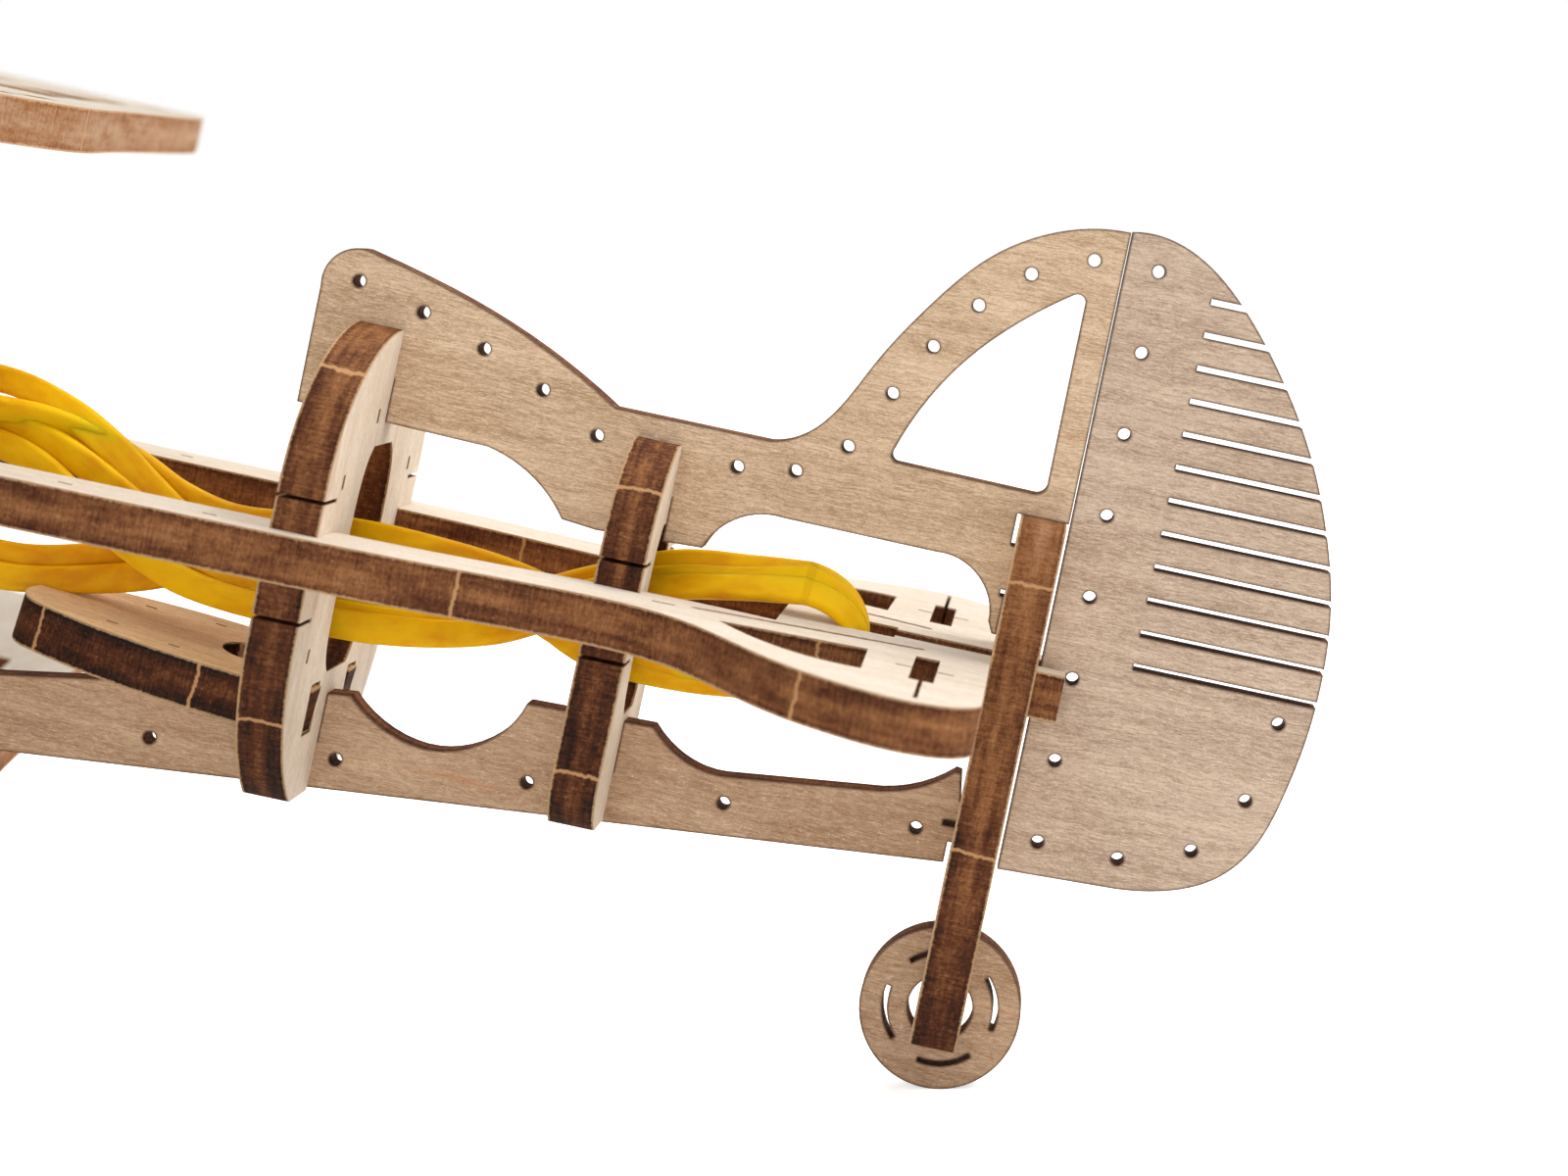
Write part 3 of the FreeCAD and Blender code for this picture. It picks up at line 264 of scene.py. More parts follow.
def sheet_plane(nodes, point, tilt, pivot):
    """The point in the sheet's own axes: a tilted sheet is turned level about its pivot."""
    if not tilt:
        return point
    turn = nodes.add("ShaderNodeVectorRotate", rotation_type="Y_AXIS")
    nodes.link(point, turn.inputs["Vector"])
    turn.inputs["Center"].default_value = pivot
    turn.inputs["Angle"].default_value = tilt
    return turn.outputs[0]


def face_colour(nodes, plane, tone):
    """Broad clouds, long bands, fine fibres, and short flecks both lighter and darker."""
    darkest, lightest = tone
    clouds = nodes.noise(nodes.stretched(plane, CLOUD_SCALE), detail=2)
    bands = nodes.noise(nodes.stretched(plane, BAND_SCALE), detail=4, roughness=0.6)
    fibres = nodes.noise(nodes.stretched(plane, FIBRE_SCALE), detail=3, roughness=0.75)
    grit = nodes.noise(nodes.stretched(plane, GRIT_SCALE), detail=3, roughness=0.8)
    tint = nodes.weighted((clouds, 0.30), (fibres, 0.85), (bands, 0.40), (grit, 0.55))
    face = nodes.mix(nodes.step(tint, 0.78, 1.30), darkest, lightest)

    flecks = nodes.noise(nodes.stretched(plane, FLECK_SCALE), detail=2, roughness=0.7)
    light = nodes.share(flecks, 0.60, 0.72, 0.40)
    face = nodes.mix(light, face, nodes.mix(0.5, lightest, LIGHT_FLECK))

    curls = nodes.noise(nodes.stretched(plane, CURL_SCALE), detail=2)
    off_middle = nodes.math("ABSOLUTE", nodes.math("SUBTRACT", curls, 0.5))
    hair = nodes.math("MULTIPLY", nodes.step(off_middle, 0.018, 0.004), nodes.step(fibres, 0.48, 0.60))
    face = nodes.mix(nodes.math("MULTIPLY", hair, 0.38), face, HAIR)

    dark = nodes.share(flecks, 0.36, 0.24, 0.42)
    face = nodes.mix(dark, face, nodes.mix(0.6, darkest, DARK_FLECK))

    streaks = nodes.noise(nodes.stretched(plane, STREAK_SCALE), detail=1)
    rust = nodes.share(streaks, 0.70, 0.80, 0.38)
    return nodes.mix(rust, face, RUST), fibres


def edge_colour(nodes, around, depth, half, edge_lightness):
    """Scorched ply: dark along both borders and in soft layers, amber between, finely mottled."""
    reach = nodes.math("DIVIDE", nodes.math("ABSOLUTE", depth), half)
    soot = nodes.noise(nodes.stretched(around, SOOT_SCALE), detail=4, roughness=0.65)
    layers = nodes.noise(nodes.stretched(around, LAYER_SCALE), detail=2)
    grit = nodes.noise(nodes.stretched(around, SPARK_SCALE), detail=4, roughness=0.8)
    strokes = nodes.noise(nodes.stretched(around, STROKE_SCALE), detail=2, roughness=0.6)
    wobble = nodes.math("MULTIPLY_ADD", soot, 0.35, reach)
    core = nodes.step(wobble, 0.62, 0.30)
    rim = nodes.step(wobble, 0.82, 1.08)
    lightness = nodes.weighted(
        (soot, 1.00), (grit, 0.80), (layers, 0.45), (strokes, 0.55), (core, 0.10), (rim, -0.12))
    lightness = nodes.math("ADD", lightness, nodes.math("SUBTRACT", edge_lightness, EDGE_DARKENING))
    brown = CHAR
    for colour, begins, full in EDGE_STEPS:
        brown = nodes.mix(nodes.step(lightness, begins, full), brown, colour)
    brown = nodes.mix(nodes.share(grit, 0.64, 0.74, 0.38), brown, LIP)
    return brown, grit, soot


def scored_face(nodes, face, axes, scores):
    """The face with ragged burnt scores. Each runs from one (x, y) to another, and is mirrored in y."""
    aside = nodes.math("ABSOLUTE", axes[1])
    tears = nodes.noise(nodes.join(axes[0], nodes.math("MULTIPLY", axes[1], 5.0), 0.0), scale=1.6)
    for (rear, rear_aside), (front, front_aside) in scores:
        slope = (front_aside - rear_aside) / (front - rear)
        line = nodes.math("MULTIPLY_ADD", axes[0], slope, rear_aside - slope * rear)
        away = nodes.math("ABSOLUTE", nodes.math("SUBTRACT", aside, line))
        ragged = nodes.math("MULTIPLY_ADD", tears, SCORE_WANDER, away)
        burnt = nodes.step(ragged, SCORE_OUTSIDE, SCORE_INSIDE)
        begun = nodes.step(axes[0], rear - SCORE_FADE, rear + SCORE_FADE)
        ended = nodes.step(axes[0], front + SCORE_FADE, front - SCORE_FADE)
        share = nodes.math("MULTIPLY", burnt, nodes.math("MULTIPLY", begun, ended))
        face = nodes.mix(nodes.math("MULTIPLY", share, 0.80), face, SCORED)
    return face


def singed_face(nodes, face):
    """The face with a hair's breadth browned along every cut, found by rounding the corners off."""
    rounded = nodes.add("ShaderNodeBevel", samples=6)
    rounded.inputs["Radius"].default_value = BORDER_REACH * MM
    plain = nodes.add("ShaderNodeNewGeometry")
    bend = nodes.vector("DOT_PRODUCT", rounded.outputs[0], plain.outputs["Normal"])
    return nodes.mix(nodes.share(bend, 0.998, 0.95, 0.90), face, SINGED)


def lipped_edge(nodes, brown, depth, half, grit):
    """The cut edge with a pale, broken lip along its borders, where the beam went in and came out."""
    ragged = nodes.math("MULTIPLY_ADD", grit, 0.42, nodes.math("ABSOLUTE", depth))
    return nodes.mix(nodes.share(ragged, half - 0.04, half + 0.12, 0.55), brown, LIP)


def nicked_edge(nodes, brown, axes, nicks, soot, grit):
    """The cut edge with a thin pale line where each holding tab was broken off."""
    for axis, place in nicks:
        wander = nodes.math("MULTIPLY_ADD", soot, 1.1, nodes.math("MULTIPLY", grit, 0.25))
        away = nodes.math("SUBTRACT", nodes.math("ADD", axes[axis], wander), place + NICK_OFFSET)
        line = nodes.share(nodes.math("ABSOLUTE", away), NICK_OUTSIDE, NICK_INSIDE, 0.75)
        brown = nodes.mix(line, brown, NICK)
    return brown


def plywood(name, across, grain, middle, half, tone, seed,
            edge_lightness=0.0, nicks=(), scores=(), tilt=0.0, pivot=(0, 0, 0)):
    """Sheet ply. Its faces show fibres along the grain, and its cut edges are scorched brown.

    across and grain number the axes of the aircraft: the sheet's normal and its face grain.
    middle is the place of the sheet's middle along its normal, and half is half its thickness.
    edge_lightness makes the cut edges lighter, and on a piece that stands across it grows with height:
    painted light from above.
    nicks are the stations, as (axis, place), of the tabs that once held the piece in its sheet.
    scores are the lines burnt into its faces.
    tilt and pivot turn a sloping sheet level before its grain is laid.
    """
    material, nodes, shader = new_material(name)
    point, normal = aircraft_point(nodes)
    point = sheet_plane(nodes, point, tilt, pivot)
    split = nodes.add("ShaderNodeSeparateXYZ")
    nodes.link(point, split.inputs[0])
    axes = [split.outputs[i] for i in range(3)]
    third = 3 - across - grain
    depth = nodes.math("SUBTRACT", axes[across], middle)
    waves = nodes.noise(nodes.stretched(point, WAVE_SCALE), detail=1)
    wavy = nodes.math("MULTIPLY_ADD", waves, WAVE_HEIGHT, axes[third])
    plane = nodes.join(
        nodes.math("ADD", axes[grain], seed * STRIDE_ALONG),
        nodes.math("ADD", wavy, seed * STRIDE_ACROSS),
        nodes.math("MULTIPLY", nodes.math("SIGN", depth), FACE_STRIDE))
    around = nodes.join(
        axes[grain],
        nodes.math("MULTIPLY_ADD", axes[grain], STROKE_LEAN, axes[third]),
        nodes.math("ADD", depth, seed * STRIDE_THROUGH))

    face, fibres = face_colour(nodes, plane, tone)
    face = scored_face(nodes, face, axes, scores)
    if half == THIN_HALF:
        face = singed_face(nodes, face)

    # Painted light from above: the cut edges of a piece that stands across get lighter with height.
    if across == 0:
        edge_lightness = nodes.math("MULTIPLY_ADD", axes[2], TOP_LIGHT_GRADIENT, edge_lightness)
    brown, grit, soot = edge_colour(nodes, around, depth, half, edge_lightness)
    if half == THICK_HALF:
        brown = lipped_edge(nodes, brown, depth, half, grit)
    brown = nicked_edge(nodes, brown, axes, nicks, soot, grit)

    # A cut edge is where the surface's normal lies in the sheet.
    direction = [FORWARD, PORT, UPWARD][across]
    if tilt:
        direction = Matrix.Rotation(-tilt, 3, "Y") @ direction
    facing = nodes.math("ABSOLUTE", nodes.vector("DOT_PRODUCT", normal, tuple(direction)))
    edge = nodes.step(facing, 0.85, 0.55)

    nodes.link(nodes.mix(edge, face, brown), shader.inputs["Base Color"])
    nodes.link(nodes.math("MULTIPLY_ADD", fibres, 0.2, 0.62), shader.inputs["Roughness"])
    shader.inputs["Specular IOR Level"].default_value = 0.15
    bump(nodes, shader, nodes.mix(edge, fibres, grit), PLY_RELIEF, 0.8)
    return material


# node: (sheet normal, face grain, colours); the axes are 0 forward, 1 to port, 2 up
SHEETS = {
    "fuselage_frame": (2, 0, FAIR),
    "upper_wing": (2, 1, SHADED_DULL),
    "lower_wing": (2, 1, SHADED_DULL),
    "belly_plate": (2, 0, SHADED_HONEY),
    "tail_post": (0, 2, PALE),
    "former_tail": (0, 2, PALE),
    "former_cockpit": (0, 2, PALE),
    "former_wing": (0, 2, PALE),
    "former_front": (0, 2, PALE),
    "nose_plate": (0, 2, PALE),
    "gear_leg_left": (1, 2, PALE),
    "gear_leg_right": (1, 2, PALE),
    "main_wheel_left": (1, 0, PALE),
    "main_wheel_right": (1, 0, PALE),
    "upper_keel": (1, 0, SHADED_TAN),
    "lower_keel": (1, 0, SHADED_BROWN),
    "cowl_keel": (1, 0, SHADED_TAN),
    "rudder": (1, 0, SHADED_GREY),
    "tail_wheel": (1, 0, SHADED_BROWN),
    "cabane_left": (1, 2, SHADED_TAN),
    "cabane_right": (1, 2, SHADED_TAN),
    "interplane_strut_left": (1, 2, SHADED_TAN),
    "interplane_strut_right": (1, 2, SHADED_TAN),
    "wheel_retainers": (1, 0, SHADED_TAN),
    "propeller_cap": (0, 2, SHADED_TAN),
    "propeller_blade_upper": (0, 2, SHADED_TAN),
    "propeller_blade_lower": (0, 2, SHADED_TAN),
}
# node: where its edge shows the marks of holding tabs, as (axis, place in millimetres)
NICKS = {
    "fuselage_frame": ((0, 45.5), (0, 16.1), (0, 96.0), (0, 132.0)),
    "former_cockpit": ((2, 15.3), (2, -14.1)),
    "former_tail": ((2, 10.3), (2, -13.9)),
    "former_wing": ((2, 9.0), (2, -14.0)),
    "tail_post": ((2, 9.2), (2, -14.1)),
    "belly_plate": ((0, 81.3), (0, 66.6)),
    "upper_wing": ((1, -3.0), (1, 52.0), (1, -68.0)),
    "lower_wing": ((1, 9.0), (1, 49.0), (1, -62.0)),
    "gear_leg_left": ((2, -38.0),),
    "gear_leg_right": ((2, -38.0),),
}
# node: how much lighter, or with a minus sign darker, its edges came out
EDGE_LIGHTNESS = {
    "fuselage_frame": 0.06,
    "upper_wing": 0.50,
    "lower_wing": 0.30,
    "former_cockpit": -0.06,
    "former_tail": -0.08,
    "tail_post": 0.14,
    "belly_plate": -0.24,
}
# The long relief slits beside the cross bar, and their scorched run-out towards the nose.
FRAME_SCORES = (((7.7, 5.2), (27.2, 8.2)),)
BELLY_TILT = math.radians(5.3)
BELLY_PIVOT = (59.5, 0.0, -13.85)


def paint(node, material):
    """A material put on a CAD node's object, so that its mesh stays as it is."""
    mesh_object = frame["nodes"][node]
    for slot in mesh_object.material_slots:
        slot.link = "OBJECT"
        slot.material = material


def paint_sheets():
    """Every plywood piece gets its own material, with its own part of the noise."""
    for seed, (node, (across, grain, tone)) in enumerate(SHEETS.items()):
        half = THIN_HALF if tone in THIN_TONES else THICK_HALF
        middle = middle_of(node)[across]
        extra = {"nicks": NICKS.get(node, ()), "edge_lightness": EDGE_LIGHTNESS.get(node, 0.0)}
        if node == "fuselage_frame":
            extra["scores"] = FRAME_SCORES
        if node == "belly_plate":
            middle = BELLY_PIVOT[2]
            extra.update(tilt=BELLY_TILT, pivot=BELLY_PIVOT)
        paint(node, plywood(node + "_ply", across, grain, middle, half, tone, seed + 1, **extra))


# ---------------------------------------------------------------- other materials

# Round wood, as (darkest, lightest).
DOWEL = (rgb(190, 150, 104), rgb(226, 196, 148))
HUB_WOOD = (rgb(118, 76, 44), rgb(176, 124, 78))
STEEL = rgb(190, 190, 194)
BRASS = rgb(206, 168, 96)
SMUDGE = rgb(120, 112, 100)
RUBBER_DEEP = rgb(220, 150, 0)
RUBBER_BRIGHT = rgb(240, 190, 2)
RUBBER_RIM_SHEEN = rgb(206, 168, 96)
RUBBER_DUST = rgb(240, 214, 130)
RIDGES = 15.0


def turned_wood(name, tone, along):
    """Smooth round wood, with its grain along one of the aircraft's axes."""
    darkest, lightest = tone
    material, nodes, shader = new_material(name)
    point, _ = aircraft_point(nodes)
    fibre_scale = [0.5 if axis == along else 6.0 for axis in range(3)]
    ring_scale = [0.05 if axis == along else 0.9 for axis in range(3)]
    fibres = nodes.noise(nodes.stretched(point, fibre_scale), detail=5, roughness=0.65)
    rings = nodes.noise(nodes.stretched(point, ring_scale), detail=3)
    share = nodes.step(nodes.math("ADD", fibres, rings), 0.75, 1.25)
    nodes.link(nodes.mix(share, darkest, lightest), shader.inputs["Base Color"])
    nodes.link(nodes.math("MULTIPLY_ADD", fibres, 0.25, 0.40), shader.inputs["Roughness"])
    bump(nodes, shader, fibres, 0.00005, 0.6)
    return material


def metal(name, colour, roughness):
    """Drawn metal with fine lines along the aircraft, and dull smudges."""
    material, nodes, shader = new_material(name)
    point, _ = aircraft_point(nodes)
    lines = nodes.noise(nodes.stretched(point, (6.0, 1.0, 1.0)), detail=4, roughness=0.7)
    smudge = nodes.noise(point, scale=0.5, detail=3)
    stained = nodes.mix(nodes.math("MULTIPLY", smudge, 0.4), colour, SMUDGE)
    nodes.link(stained, shader.inputs["Base Color"])
    shader.inputs["Metallic"].default_value = 1.0
    nodes.link(nodes.math("MULTIPLY_ADD", lines, 0.2, roughness), shader.inputs["Roughness"])
    bump(nodes, shader, lines, 0.00003, 0.4)
    return material


def rubber_material():
    """Yellow rubber in uneven patches, duller at the rims as a painted sheen, with specks of dust and fine
    ridges across.
    """
    material, nodes, shader = new_material("yellow_rubber")
    point, _ = aircraft_point(nodes)
    strand = nodes.add("ShaderNodeAttribute", attribute_name="strand")
    parts = nodes.add("ShaderNodeSeparateXYZ")
    nodes.link(strand.outputs["Vector"], parts.inputs[0])
    ridges = nodes.math("SINE", nodes.math("MULTIPLY", parts.outputs[0], RIDGES))
    uneven = nodes.noise(nodes.stretched(strand.outputs["Vector"], (0.35, 0.8, 2.0)), detail=3)
    clouds = nodes.noise(point, scale=0.10, detail=2)
    dust = nodes.noise(point, scale=3.5, detail=4, roughness=0.8)
    share = nodes.step(nodes.math("ADD", clouds, nodes.math("MULTIPLY", uneven, 0.7)), 0.60, 1.10)
    colour = nodes.mix(share, RUBBER_DEEP, RUBBER_BRIGHT)
    # Painted sheen: the colour turns duller where the band's surface is seen edge-on.
    rim = nodes.add("ShaderNodeLayerWeight")
    rim.inputs["Blend"].default_value = 0.4
    painted_rim_sheen = nodes.math("MULTIPLY", nodes.math("POWER", rim.outputs["Facing"], 4.0), 0.5)
    colour = nodes.mix(painted_rim_sheen, colour, RUBBER_RIM_SHEEN)
    colour = nodes.mix(nodes.share(dust, 0.64, 0.78, 0.22), colour, RUBBER_DUST)
    nodes.link(colour, shader.inputs["Base Color"])
    shader.inputs["Subsurface Weight"].default_value = 0.45
    shader.inputs["Subsurface Radius"].default_value = (1.0, 0.5, 0.04)
    shader.inputs["Subsurface Scale"].default_value = 0.0012
    shader.inputs["Specular IOR Level"].default_value = 0.12
    nodes.link(nodes.math("MULTIPLY_ADD", dust, 0.25, 0.40), shader.inputs["Roughness"])
    height = nodes.math("MULTIPLY_ADD", ridges, 0.05, nodes.math("MULTIPLY", uneven, 0.8))
    bump(nodes, shader, height, 0.00010, 0.6)
    return material


# ---------------------------------------------------------------- rubber bands

BAND_WIDTH = 2.5
BAND_THICK = 1.05
BAND_LAYER = 1.05
SWAY = 1.7
SWAY_START = 58.0
SWAY_LENGTH = 64.0
STEP = 0.5
TAIL_START = 19.0
HOOK_START = 138.0
LOOP_BACK = 13.6
LOOP_BACK_SPREAD = 0.15
LOOP_BACK_STEPS = 26
LOOP_FRONT = 143.4
LOOP_FRONT_SPREAD = 0.3
LOOP_FRONT_STEPS = 14
# A strand's flat side rolls to and fro on its way, and leans more where it leaves the tail bar.
ROLL_ASIDE = 0.15
ROLL_SWING = 0.35
ROLL_RATE = 0.09
ROLL_SHIFT = 1.9
BAR_LEAN = 0.55
BAR_LEAN_REACH = 14.0
# A band swells and thins a little along its way.
SWELL = 0.06
SWELL_RATE = 0.31
CORNER_SHARE = 0.42
# How far apart two bands lie in the noise of their material.
BAND_STRIDE = 5.0

# Each band has a strand that leaves the tail bar above it and one that leaves below it.
# These are the middle lines of the two, as (x, z). The strands of the first two bands cross
# three times on their way to the hook, and those of the third band once.
STRANDS = (
    (
        [(19, 5.4), (24, 4.6), (31, 3.5), (38, 0.4), (45, -3.2), (54, -5.2), (63, -5.3), (70, -2.8),
         (76.4, 1.0), (80, 3.4), (85, 5.8), (91, 7.1), (99, 6.2), (108, 1.2), (118, -3.2), (128, -2.8),
         (138, -1.8)],
        [(19, -4.6), (28, -5.2), (35, -5.0), (41, -3.2), (46, -0.6), (52, 0.5), (60, 0.2), (68, -1.6),
         (75, -4.6), (81, -6.6), (88, -7.9), (97, -6.8), (107, -1.6), (117, 3.0), (128, 3.0), (138, 2.0)],
    ),
    (
        [(19, 5.0), (24, 3.7), (31, 2.3), (38, -0.8), (45, -4.8), (54, -6.4), (63, -6.2), (70, -4.0),
         (76, -1.2), (82, 1.8), (86, 3.2), (91, 4.0), (99, 3.2), (108, -1.0), (118, -4.2), (128, -3.4),
         (138, -2.4)],
        [(19, -5.0), (28, -5.8), (36, -5.0), (42, -2.4), (48, -0.8), (55, -0.4), (62, -1.0), (68, -3.0),
         (73.5, -6.2), (80, -8.3), (88, -9.5), (97, -8.1), (107, -3.0), (117, 2.0), (128, 2.4), (138, 1.6)],
    ),
    (
        [(19, 4.2), (24, 3.3), (31, 1.6), (38, -1.6), (45, -5.4), (54, -7.0), (64, -6.9), (71, -6.0),
         (76, -4.0), (81, -1.4), (86, 1.2), (91, 2.0), (99, 1.0), (108, -2.4), (118, -4.8), (128, -4.2),
         (138, -3.0)],
        [(19, -4.2), (28, -4.4), (34, -3.2), (40, -0.4), (46, 0.8), (54, 1.0), (62, 0.4), (69, -0.3),
         (74, 0.6), (78, 2.4), (83, 4.2), (88, 5.0), (97, 4.4), (107, 1.8), (117, 4.2), (128, 3.8),
         (138, 2.6)],
    ),
)


def height_along(points, x):
    """A smooth curve through the points, read at x."""
    last = len(points) - 2
    index = 0
    while index < last and x > points[index + 1][0]:
        index += 1
    before = points[max(index - 1, 0)]
    start = points[index]
    end = points[index + 1]
    after = points[min(index + 2, len(points) - 1)]
    span = end[0] - start[0]
    share = (x - start[0]) / span
    slope_in = (end[1] - before[1]) / (end[0] - before[0]) * span
    slope_out = (after[1] - start[1]) / (after[0] - start[0]) * span
    square = share * share
    cube = square * share
    return ((2 * cube - 3 * square + 1) * start[1] + (cube - 2 * square + share) * slope_in
            + (3 * square - 2 * cube) * end[1] + (cube - square) * slope_out)


def strand_points(band, below):
    """One strand from the tail bar forward, with the direction that its flat side faces."""
    side = -1.0 if below else 1.0
    points = []
    for step in range(int((HOOK_START - TAIL_START) / STEP) + 1):
        x = TAIL_START + STEP * step
        sway = side * SWAY * math.sin(2 * math.pi * (x - SWAY_START) / SWAY_LENGTH)
        place = Vector((x, sway + (band - 1) * BAND_LAYER, height_along(STRANDS[band][below], x)))
        roll = side * ROLL_ASIDE + ROLL_SWING * math.sin(ROLL_RATE * x + ROLL_SHIFT * band + side)
        lean = BAR_LEAN * max(0.0, 1.0 - (x - TAIL_START) / BAR_LEAN_REACH)
        facing = Vector((0.0, math.cos(roll + side * lean), math.sin(roll + side * lean)))
        points.append((place, facing))
    return points


def turn_round(start, end, reach, count):
    """Half a turn from one strand's end to the other's, bulging in x to reach."""
    middle = (start[0] + end[0]) / 2
    radius = (start[0] - end[0]) / 2
    bulge = Vector((reach - middle.x, 0, 0))
    points = []
    for step in range(1, count):
        turn = math.pi * step / count
        place = middle + radius * math.cos(turn) + bulge * math.sin(turn)
        facing = start[1] * (1 - step / count) + end[1] * (step / count)
        outward = radius.normalized() * math.cos(turn) + bulge.normalized() * math.sin(turn)
        points.append((place, (facing + outward * 0.9 * math.sin(turn)).normalized()))
    return points


def band_path(band):
    """The closed path of one band: forward from above the bar, round the hook and back below."""
    above = strand_points(band, 0)
    below = strand_points(band, 1)
    below.reverse()
    front = LOOP_FRONT + LOOP_FRONT_SPREAD * band
    back = LOOP_BACK - LOOP_BACK_SPREAD * (band - 1)
    round_hook = turn_round(above[-1], below[0], front, LOOP_FRONT_STEPS)
    round_bar = turn_round(below[-1], above[0], back, LOOP_BACK_STEPS)
    return above + round_hook + below + round_bar


def ring_profile():
    """A rounded rectangle: the section of a band, as points across and through it."""
    corner = BAND_THICK * CORNER_SHARE
    points = []
    for cx, cy, start in ((1, 1, 0), (-1, 1, 90), (-1, -1, 180), (1, -1, 270)):
        for step in range(4):
            angle = math.radians(start + 30 * step)
            points.append((
                cx * (BAND_WIDTH / 2 - corner) + corner * math.cos(angle),
                cy * (BAND_THICK / 2 - corner) + corner * math.sin(angle)))
    return points


def band_rings(mesh, marks, band):
    """Rings of vertices along one band's closed path. Each vertex is marked with its place in the band."""
    path = band_path(band)
    profile = ring_profile()
    rings = []
    travelled = 0.0
    through = path[0][1]
    for index, (place, facing) in enumerate(path):
        ahead = (path[(index + 1) % len(path)][0] - path[index - 1][0]).normalized()
        if facing.dot(through) < 0:
            facing = -facing
        through = (facing - ahead * facing.dot(ahead)).normalized()
        wide = ahead.cross(through)
        if index:
            travelled += (place - path[index - 1][0]).length
        swell = 1.0 + SWELL * math.sin(travelled * SWELL_RATE + band)
        ring = []
        for a, b in profile:
            vert = mesh.verts.new(at(*(place + wide * (a * swell) + through * (b / swell))))
            vert[marks] = (travelled, a, b + BAND_STRIDE * band)
            ring.append(vert)
        rings.append(ring)
    return rings


def join_rings(mesh, rings):
    """Faces from each ring to the next. The last meets the first, which can be half a turn on."""
    count = len(rings[0])
    first, last = rings[0], rings[-1]
    straight_gap = (first[0].co - last[0].co).length
    flipped = straight_gap > (first[count // 2].co - last[0].co).length
    for index, ring in enumerate(rings):
        following = rings[(index + 1) % len(rings)]
        shift = count // 2 if flipped and index == len(rings) - 1 else 0
        for k in range(count):
            near = following[(k + shift) % count]
            far = following[(k + 1 + shift) % count]
            mesh.faces.new((ring[k], ring[(k + 1) % count], far, near))


def make_bands(material):
    """All bands as one mesh, looped round the hook at its front and resting on the bar at its rear."""
    mesh = bmesh.new()
    marks = mesh.verts.layers.float_vector.new("strand")
    for band in range(len(STRANDS)):
        join_rings(mesh, band_rings(mesh, marks, band))
    bmesh.ops.recalc_face_normals(mesh, faces=mesh.faces)
    for face in mesh.faces:
        face.smooth = True
    data = bpy.data.meshes.new("rubber_bands")
    mesh.to_mesh(data)
    mesh.free()
    data.materials.append(material)
    bands = bpy.data.objects.new("rubber_bands", data)
    scene.collection.objects.link(bands)
    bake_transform(bands)
    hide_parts("rubber_motor")


# ---------------------------------------------------------------- light, floor and camera

CAMERA_X, CAMERA_Y, CAMERA_Z = 2.81, 190.0, 36.7
FOCAL_LENGTH = 50.2
SENSOR = 36.0
SHIFT_X, SHIFT_Y = -0.18, -0.209
HOME_STOP = 22.0
NO_BLUR_STOP = 9000.0
CLIP_START = 0.005
WORLD_LIGHT = 0.62
FLOOR_GLOW = 0.62
FLOOR_RADIUS = 60.0
FLOOR_CORNERS = 96
FLOOR_WHITE = (0.90, 0.89, 0.88, 1.0)
WHITE = (1.0, 1.0, 1.0)
WARM_WHITE = (1.0, 0.99, 0.97)


def home_driver(data, name, value, elsewhere, camera):
    """A camera setting with one value while the camera stands at its own place, and one elsewhere."""
    driver = data.driver_add(name).driver
    driver.type = "SCRIPTED"
    variable = driver.variables.new()
    variable.name = "place"
    variable.type = "TRANSFORMS"
    variable.targets[0].id = camera
    variable.targets[0].transform_type = "LOC_Y"
    driver.expression = "%.4f if abs(place - %.5f) < 0.001 else %.1f" % (
        value, camera.location.y, elsewhere)


def make_camera():
    """The camera looks to starboard, level and square to the aircraft's side."""
    data = bpy.data.cameras.new("camera")
    data.lens = FOCAL_LENGTH
    data.sensor_width = SENSOR
    data.sensor_fit = "HORIZONTAL"
    data.clip_start = CLIP_START
    camera = bpy.data.objects.new("camera", data)
    camera.location = at(CAMERA_X, CAMERA_Y, CAMERA_Z)
    camera.rotation_euler = (math.pi / 2, 0, math.pi)
    scene.collection.objects.link(camera)
    scene.camera = camera
    data.dof.use_dof = True
    data.dof.focus_distance = CAMERA_Y * MM
    home_driver(data, "shift_x", SHIFT_X, 0.0, camera)
    home_driver(data, "shift_y", SHIFT_Y, 0.0, camera)
    home_driver(data.dof, "aperture_fstop", HOME_STOP, NO_BLUR_STOP, camera)


def area_light(name, place, target, size, power, colour=WHITE):
    """A round soft light that faces its target."""
    data = bpy.data.lights.new(name, "AREA")
    data.shape = "DISK"
    data.size = size
    data.energy = power
    data.color = colour
    light = bpy.data.objects.new(name, data)
    light.location = place
    light.rotation_euler = (Vector(target) - Vector(place)).to_track_quat("-Z", "Y").to_euler()
    scene.collection.objects.link(light)


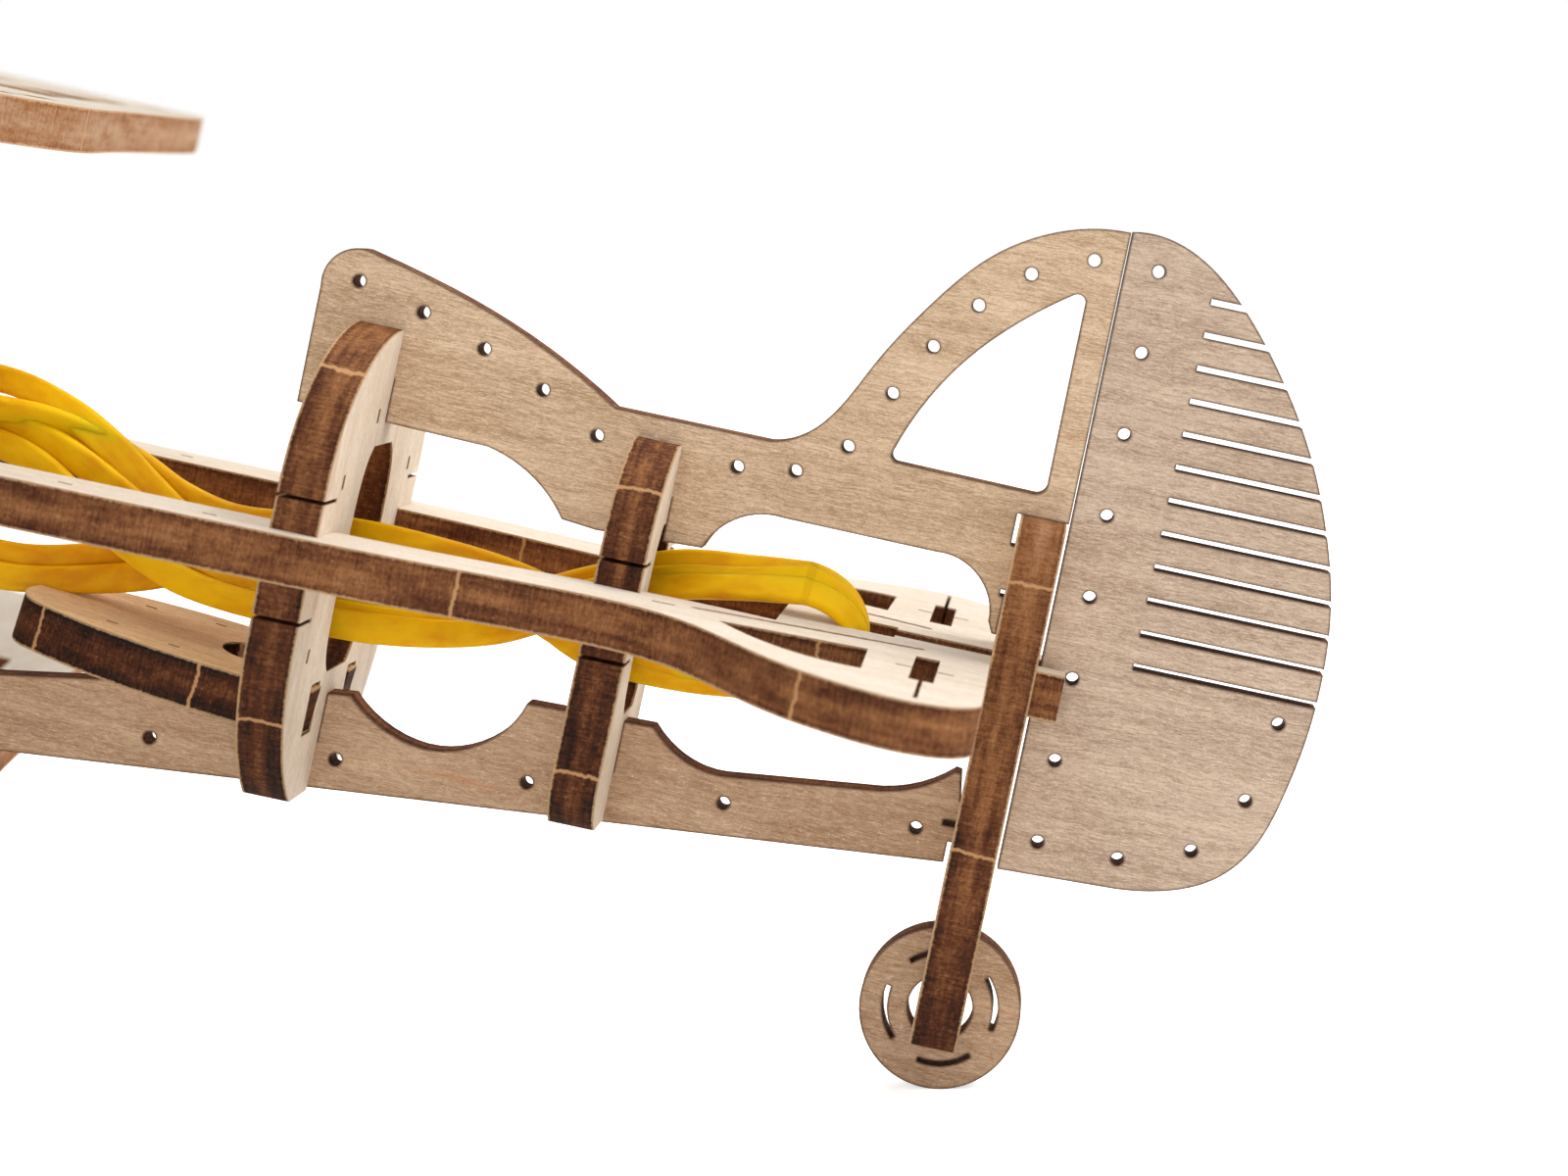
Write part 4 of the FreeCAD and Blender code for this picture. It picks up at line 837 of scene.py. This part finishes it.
def make_world():
    """Even pale light, with a plain white backdrop for the camera."""
    world = bpy.data.worlds.new("studio")
    world.use_nodes = True
    scene.world = world
    nodes = Nodes(world.node_tree)
    world.node_tree.nodes.clear()
    path = nodes.add("ShaderNodeLightPath")
    light = nodes.add("ShaderNodeBackground")
    light.inputs["Color"].default_value = (*WHITE, 1.0)
    light.inputs["Strength"].default_value = WORLD_LIGHT
    seen = nodes.add("ShaderNodeBackground")
    seen.inputs["Color"].default_value = (*WHITE, 1.0)
    seen.inputs["Strength"].default_value = 1.0
    mix = nodes.add("ShaderNodeMixShader")
    output = nodes.add("ShaderNodeOutputWorld")
    nodes.link(path.outputs["Is Camera Ray"], mix.inputs[0])
    nodes.link(light.outputs[0], mix.inputs[1])
    nodes.link(seen.outputs[0], mix.inputs[2])
    nodes.link(mix.outputs[0], output.inputs["Surface"])


def make_floor():
    """A wide white floor: it throws light back up, and shows only a faint shadow to the camera."""
    bpy.ops.mesh.primitive_circle_add(
        vertices=FLOOR_CORNERS, radius=FLOOR_RADIUS, fill_type="NGON", location=(0, 0, 0))
    floor = bpy.context.object
    floor.name = "floor"
    material, nodes, shader = new_material("white_floor")
    shader.inputs["Base Color"].default_value = FLOOR_WHITE
    shader.inputs["Roughness"].default_value = 0.9
    shader.inputs["Specular IOR Level"].default_value = 0.0
    glow = nodes.add("ShaderNodeEmission")
    glow.inputs["Color"].default_value = (*WHITE, 1.0)
    path = nodes.add("ShaderNodeLightPath")
    strength = nodes.math("MULTIPLY", path.outputs["Is Camera Ray"], FLOOR_GLOW)
    nodes.link(strength, glow.inputs["Strength"])
    both = nodes.add("ShaderNodeAddShader")
    nodes.link(shader.outputs[0], both.inputs[0])
    nodes.link(glow.outputs[0], both.inputs[1])
    output = next(node for node in nodes.tree.nodes if node.type == "OUTPUT_MATERIAL")
    nodes.link(both.outputs[0], output.inputs["Surface"])
    floor.data.materials.append(material)


def make_studio():
    """The world, the floor and three soft lights, whose places are in metres in the row frame."""
    make_world()
    make_floor()
    area_light("key_aft_above", place=(-0.55, -0.10, 0.62), target=(-0.03, 0, 0.04),
               size=0.5, power=4.2, colour=WARM_WHITE)
    area_light("fill_port", place=(0.05, 0.75, 0.16), target=(-0.03, 0, 0.04), size=0.7, power=1.5)
    area_light("top", place=(0.05, -0.15, 0.75), target=(-0.02, 0, 0.04), size=0.7, power=2.2)
    scene.view_settings.view_transform = "Standard"
    scene.view_settings.look = "None"


# ---------------------------------------------------------------- build

paint_sheets()
paint("axle", turned_wood("dowel", DOWEL, along=1))
paint("propeller_hub", turned_wood("hub_wood", HUB_WOOD, along=0))
paint("propeller_shaft", metal("steel_wire", STEEL, 0.28))
brass = metal("brass", BRASS, 0.3)
paint("nose_bush", brass)
paint("thrust_bead", brass)
make_bands(rubber_material())
make_studio()
make_camera()
